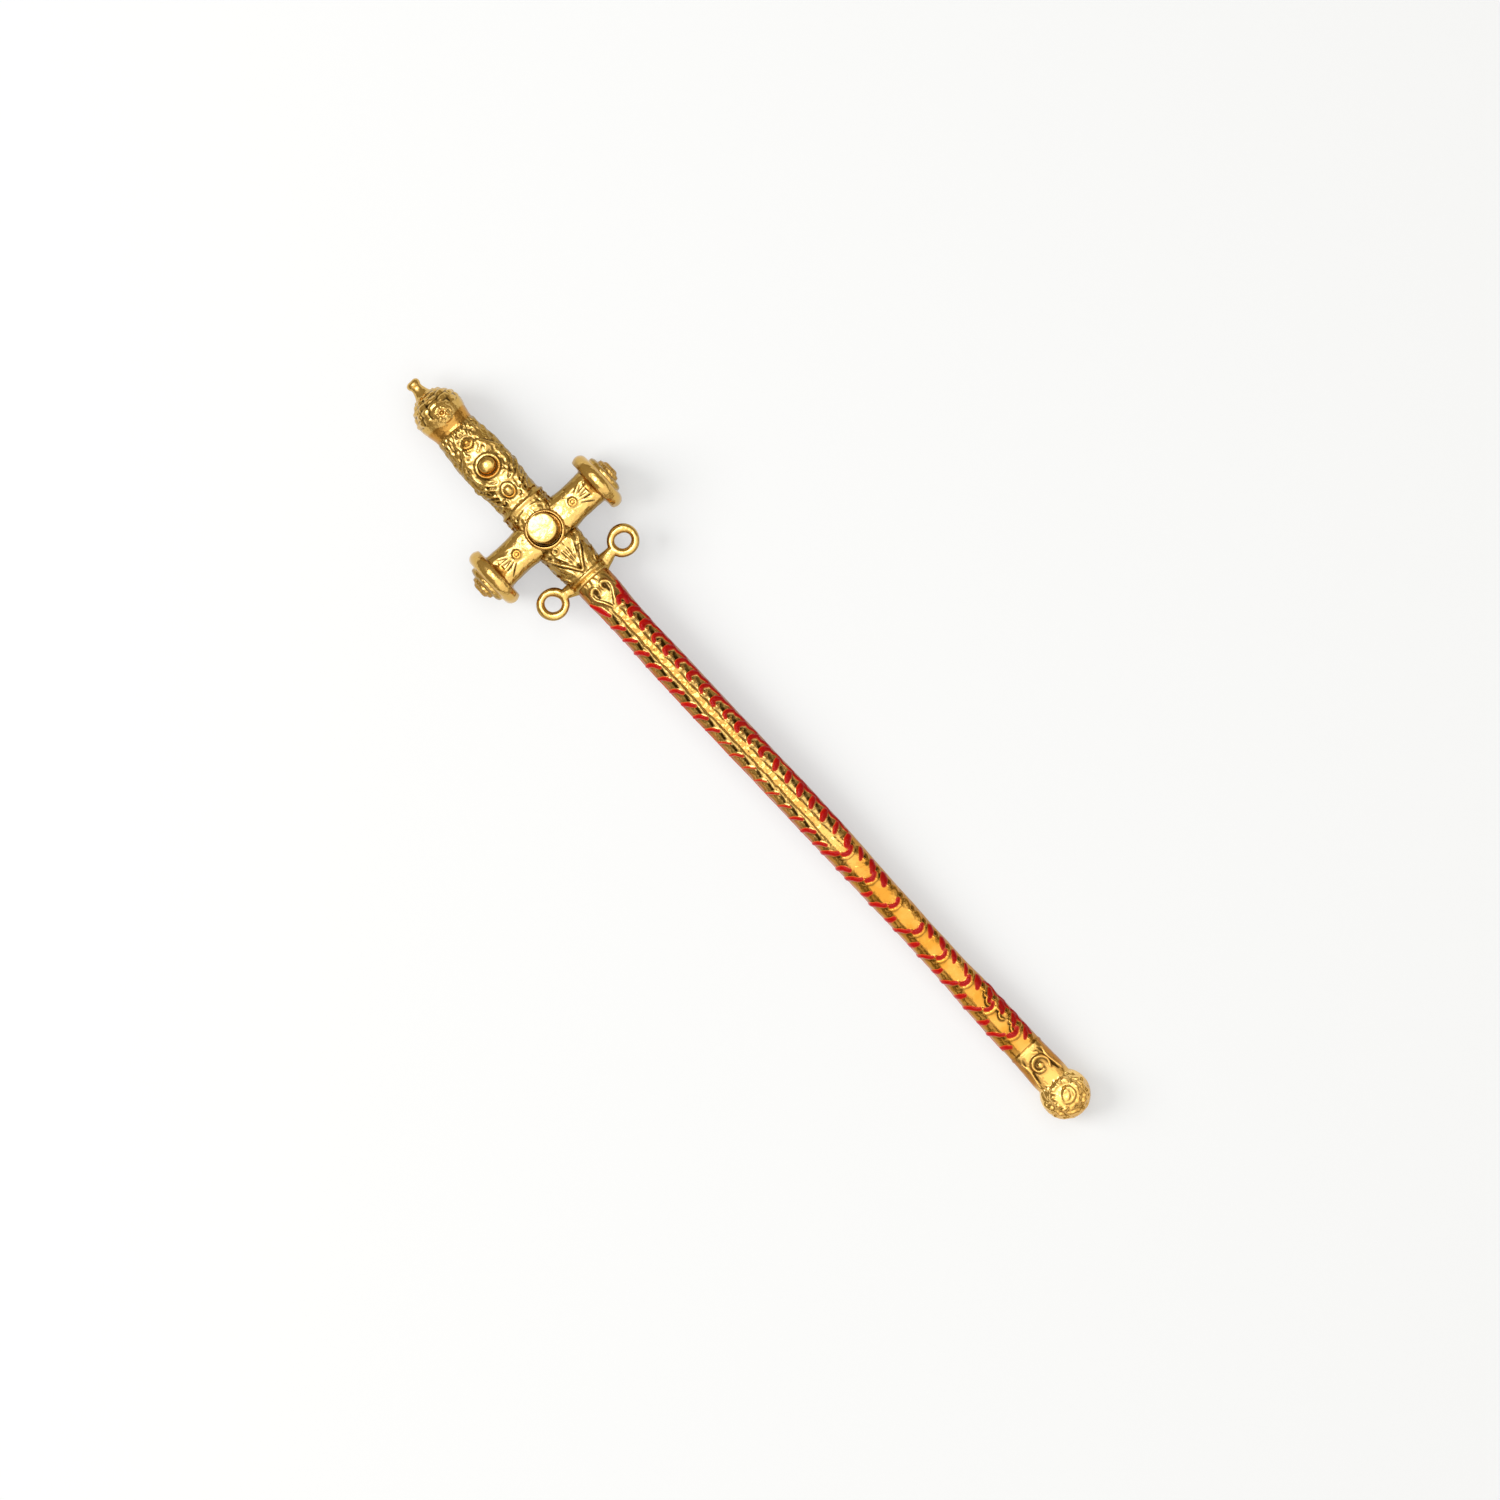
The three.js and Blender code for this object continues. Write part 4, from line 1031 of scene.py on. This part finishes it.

# %% [markdown]
# ## Gold plate and enamel
#
# Gold plate is a plain metal. Its colour is darkened with painted shade in hollows, standing in for
# light that bounces twice there, and the amber field turns it amber, in places as painted shade.
# Hilt and scabbard share that, so it is a node group, and so is the fine grain of the casting.
# Painting the tones as an image is ruled out by their fineness, and the carving already knows its
# own hollows, which it keeps as a field of painted hollow shade. A further field is painted side
# shade: it deepens the gold of what faces sideways.

# %% Node helpers and groups


class Nodes:
    """Adds nodes to a tree and links them by name, one per line"""

    def __init__(self, tree):
        self.tree = tree

    def add(self, kind, values=None, **settings):
        node = self.tree.nodes.new("ShaderNode" + kind)
        for key, value in settings.items():
            setattr(node, key, value)
        for key, value in (values or {}).items():
            if isinstance(value, bpy.types.NodeSocket):
                self.tree.links.new(value, node.inputs[key])
            else:
                node.inputs[key].default_value = value
        return node

    def math(self, operation, *values):
        return self.add("Math", dict(enumerate(values)), operation=operation).outputs[0]

    def range(self, value, low, high, to_low=0.0, to_high=1.0):
        return self.add("MapRange", {0: value, 1: low, 2: high, 3: to_low, 4: to_high}).outputs[0]

    def mix(self, share, first, second):
        return self.add("Mix", {0: share, 6: first, 7: second}, data_type="RGBA").outputs[2]

    def field(self, name):
        return self.add("Attribute", attribute_type="GEOMETRY", attribute_name=name).outputs["Fac"]


def new_group(name, inputs, outputs):
    tree = bpy.data.node_groups.new(name, "ShaderNodeTree")
    for label, (kind, value) in inputs.items():
        socket = tree.interface.new_socket(label, in_out="INPUT", socket_type="NodeSocket" + kind)
        if value is not None:
            socket.default_value = value
    for label, kind in outputs.items():
        tree.interface.new_socket(label, in_out="OUTPUT", socket_type="NodeSocket" + kind)
    group_input = tree.nodes.new("NodeGroupInput")
    group_output = tree.nodes.new("NodeGroupOutput")
    return tree, Nodes(tree), group_input.outputs, group_output.inputs


# Two of these colours are painted shade: the darkest one for hollows, and an olive brown for faces that turn
# sideways.
gold_tone, nodes, given, out = new_group(
    "gold_tone",
    {"Hollow shade": ("Float", 0.0), "Amber": ("Float", 0.0), "Side shade": ("Float", 0.0),
     "Clean gold": ("Color", (0.97, 0.63, 0.2, 1)), "Side shade gold": ("Color", (0.37, 0.21, 0.045, 1)),
     "Shade gold": ("Color", (0.07, 0.032, 0.006, 1)), "Amber gold": ("Color", (0.54, 0.24, 0.03, 1))},
    {"Color": "Color", "Roughness": "Float"})
place = nodes.add("TexCoord").outputs["Object"]
patches = nodes.add("TexNoise", {"Vector": place, "Scale": 420.0, "Detail": 3.0}).outputs["Fac"]
uneven = nodes.range(patches, 0.3, 0.75, -0.12, 0.18)
# Hollows and faces that turn sideways get painted shade here.
depth = nodes.range(nodes.math("ADD", given["Hollow shade"], uneven), 0.12, 0.95)
pooled = nodes.math("MULTIPLY", given["Amber"], nodes.range(patches, 0.25, 0.7, 0.7, 1.1))
side_shaded = nodes.mix(given["Side shade"], given["Clean gold"], given["Side shade gold"])
tinted = nodes.mix(pooled, side_shaded, given["Amber gold"])
nodes.tree.links.new(nodes.mix(depth, tinted, given["Shade gold"]), out["Color"])
nodes.tree.links.new(nodes.range(patches, 0.3, 0.75, 0.13, 0.26), out["Roughness"])

GRAIN_DEPTH = 0.000042
cast_grain, nodes, given, out = new_group(
    "cast_grain", {"Depth": ("Float", 1.0), "Grain scale": ("Float", 2600.0)},
    {"Normal": "Vector"})
place = nodes.add("TexCoord").outputs["Object"]
grain = nodes.add("TexNoise", {"Vector": place, "Scale": given["Grain scale"], "Detail": 2.0}).outputs["Fac"]
swell = nodes.add("TexNoise", {"Vector": place, "Scale": 900.0, "Detail": 1.0}).outputs["Fac"]
height = nodes.math("ADD", grain, nodes.math("MULTIPLY", swell, 1.6))
bump = nodes.add("Bump", {"Strength": 1.0, "Distance": GRAIN_DEPTH,
                          "Height": nodes.math("MULTIPLY", height, given["Depth"])})
nodes.tree.links.new(bump.outputs[0], out["Normal"])

# %% [markdown]
# The hilt is bare gold plate. The scabbard has the same plate, and where the paint field is above
# zero a glossy red enamel lies over it: a smooth non-metal, orange where it runs thin at its rim.
# Two materials could meet at face edges, but then the paint's edge would be as
# jagged as the mesh; one material that blends the two by the field keeps a clean brush line.

# %% Materials


def new_material(name):
    material = bpy.data.materials.new(name)
    material.use_nodes = True
    material.node_tree.nodes.clear()
    nodes = Nodes(material.node_tree)
    shader = nodes.add("BsdfPrincipled")
    nodes.add("OutputMaterial", {"Surface": shader.outputs[0]})
    return material, nodes, shader.inputs


def plated(nodes, depth, side_shade_gold):
    tone = nodes.add("Group", node_tree=gold_tone)
    tone.inputs["Side shade gold"].default_value = side_shade_gold
    grain = nodes.add("Group", node_tree=cast_grain)
    nodes.tree.links.new(nodes.field("hollow_shade"), tone.inputs["Hollow shade"])
    nodes.tree.links.new(nodes.field("amber"), tone.inputs["Amber"])
    nodes.tree.links.new(nodes.field("side_shade"), tone.inputs["Side shade"])
    grain.inputs["Depth"].default_value = depth
    return tone.outputs["Color"], tone.outputs["Roughness"], grain.outputs["Normal"]


gold_plate, nodes, shader = new_material("gold_plate")
# The colour given here is the painted side shade of the hilt's gold.
color, roughness, normal = plated(nodes, 1.15, (0.4, 0.235, 0.04, 1))
shader["Metallic"].default_value = 1.0
for key, socket in (("Base Color", color), ("Roughness", roughness), ("Normal", normal)):
    nodes.tree.links.new(socket, shader[key])
gilded_hilt.data.materials.clear()
gilded_hilt.data.materials.append(gold_plate)

enamelled_gold, nodes, shader = new_material("gold_plate_with_red_enamel")
# The colour given here is the painted side shade of the scabbard's gold, more orange than the hilt's.
color, roughness, normal = plated(nodes, 1.2, (0.42, 0.15, 0.018, 1))
paint = nodes.field("paint")
place = nodes.add("TexCoord").outputs["Object"]
brush = nodes.add("TexNoise", {"Vector": place, "Scale": 1700.0, "Detail": 2.0}).outputs["Fac"]
edge = nodes.math("ADD", paint, nodes.range(brush, 0.3, 0.7, -0.035, 0.035))
covered = nodes.range(edge, -0.012, 0.018)
thick = nodes.range(edge, 0.0, 0.12)
thin_red, deep_red = (0.66, 0.08, 0.013, 1), (0.43, 0.003, 0.002, 1)
red = nodes.mix(thick, thin_red, deep_red)
links = nodes.tree.links
links.new(nodes.mix(covered, color, red), shader["Base Color"])
links.new(nodes.range(covered, 0, 1, 1.0, 0.0), shader["Metallic"])
links.new(nodes.math("ADD", roughness, nodes.math("MULTIPLY", covered, 0.08)), shader["Roughness"])
links.new(normal, shader["Normal"])
shader["Specular IOR Level"].default_value = 0.15
painted_scabbard.data.materials.clear()
painted_scabbard.data.materials.append(enamelled_gold)

# %% [markdown]
# ## Floor and light
#
# The photograph is a product shot on bright paper. One lamp could light it all, but polished gold
# shows what it mirrors. So the floor is plain pale paper with a little light of its own, and a
# window at the left, which the gold doesn't mirror, throws the soft shadow. Two soft boxes and a
# panel above are mirrored by faces that look up, which go nearly white. The flanks mirror the dim
# warm room, and that, with the painted side shade in the gold's colour, makes polished gold look
# olive and brown at its sides.

# %% Floor, soft light and world
FLOOR_SIZE = 3.0
floor_mesh = bpy.data.meshes.new("floor")
half = FLOOR_SIZE / 2
floor_mesh.from_pydata([(-half, -half, 0), (half, -half, 0), (half, half, 0), (-half, half, 0)], [],
                       [(0, 1, 2, 3)])
floor = bpy.data.objects.new("floor", floor_mesh)
bpy.context.scene.collection.objects.link(floor)
paper, nodes, shader = new_material("white_paper")
shader["Base Color"].default_value = (0.5, 0.5, 0.5, 1)
shader["Emission Color"].default_value = (0.88, 0.93, 1, 1)
shader["Emission Strength"].default_value = 0.47
shader["Roughness"].default_value = 0.7
shader["Specular IOR Level"].default_value = 0.2
floor_mesh.materials.append(paper)


def soft_light(name, place, size, radiance, aim=(0, 0, 0), color=(1, 1, 1), mirrored=True,
               lights_paper=True):
    """A soft box of a width and length; the gold may mirror it, and it may light the paper"""
    data = bpy.data.lights.new(name, "AREA")
    data.shape = "RECTANGLE"
    data.size, data.size_y = size
    data.energy = radiance * math.pi * size[0] * size[1]
    data.color = color
    light = bpy.data.objects.new(name, data)
    bpy.context.scene.collection.objects.link(light)
    light.location = place
    light.rotation_euler = (Vector(aim) - Vector(place)).to_track_quat("-Z", "Y").to_euler()
    light.visible_camera = False
    light.visible_glossy = mirrored
    light.visible_diffuse = lights_paper


PHOTO_RIGHT = Vector((math.cos(SWORD_TURN), math.sin(SWORD_TURN), 0))
soft_light("box_over_hilt", (-0.065, 0, 0.2), (0.09, 0.1), 4.4, aim=(-0.065, 0, 0), color=(0.8, 0.84, 1),
           lights_paper=False)
soft_light("box_over_tip", (0.11, 0, 0.07), (0.188, 0.28), 0.65, aim=(0.11, 0, 0), lights_paper=False)
soft_light("panel", (0, 0, 0.62), (0.84, 0.84), 1.0)
window_place = -0.6 * PHOTO_RIGHT + Vector((0, 0, 0.45))
soft_light("window", window_place, (0.44, 0.44), 7.5, mirrored=False)
world = bpy.data.worlds.new("room")
bpy.context.scene.world = world
world.use_nodes = True
nodes = Nodes(world.node_tree)
background = world.node_tree.nodes["Background"]
seen = nodes.add("LightPath").outputs["Is Camera Ray"]
world.node_tree.links.new(nodes.range(seen, 0, 1, 0.3, 0.9), background.inputs["Strength"])
background.inputs["Color"].default_value = (1, 0.84, 0.52, 1)
bpy.context.scene.view_settings.view_transform = "Standard"
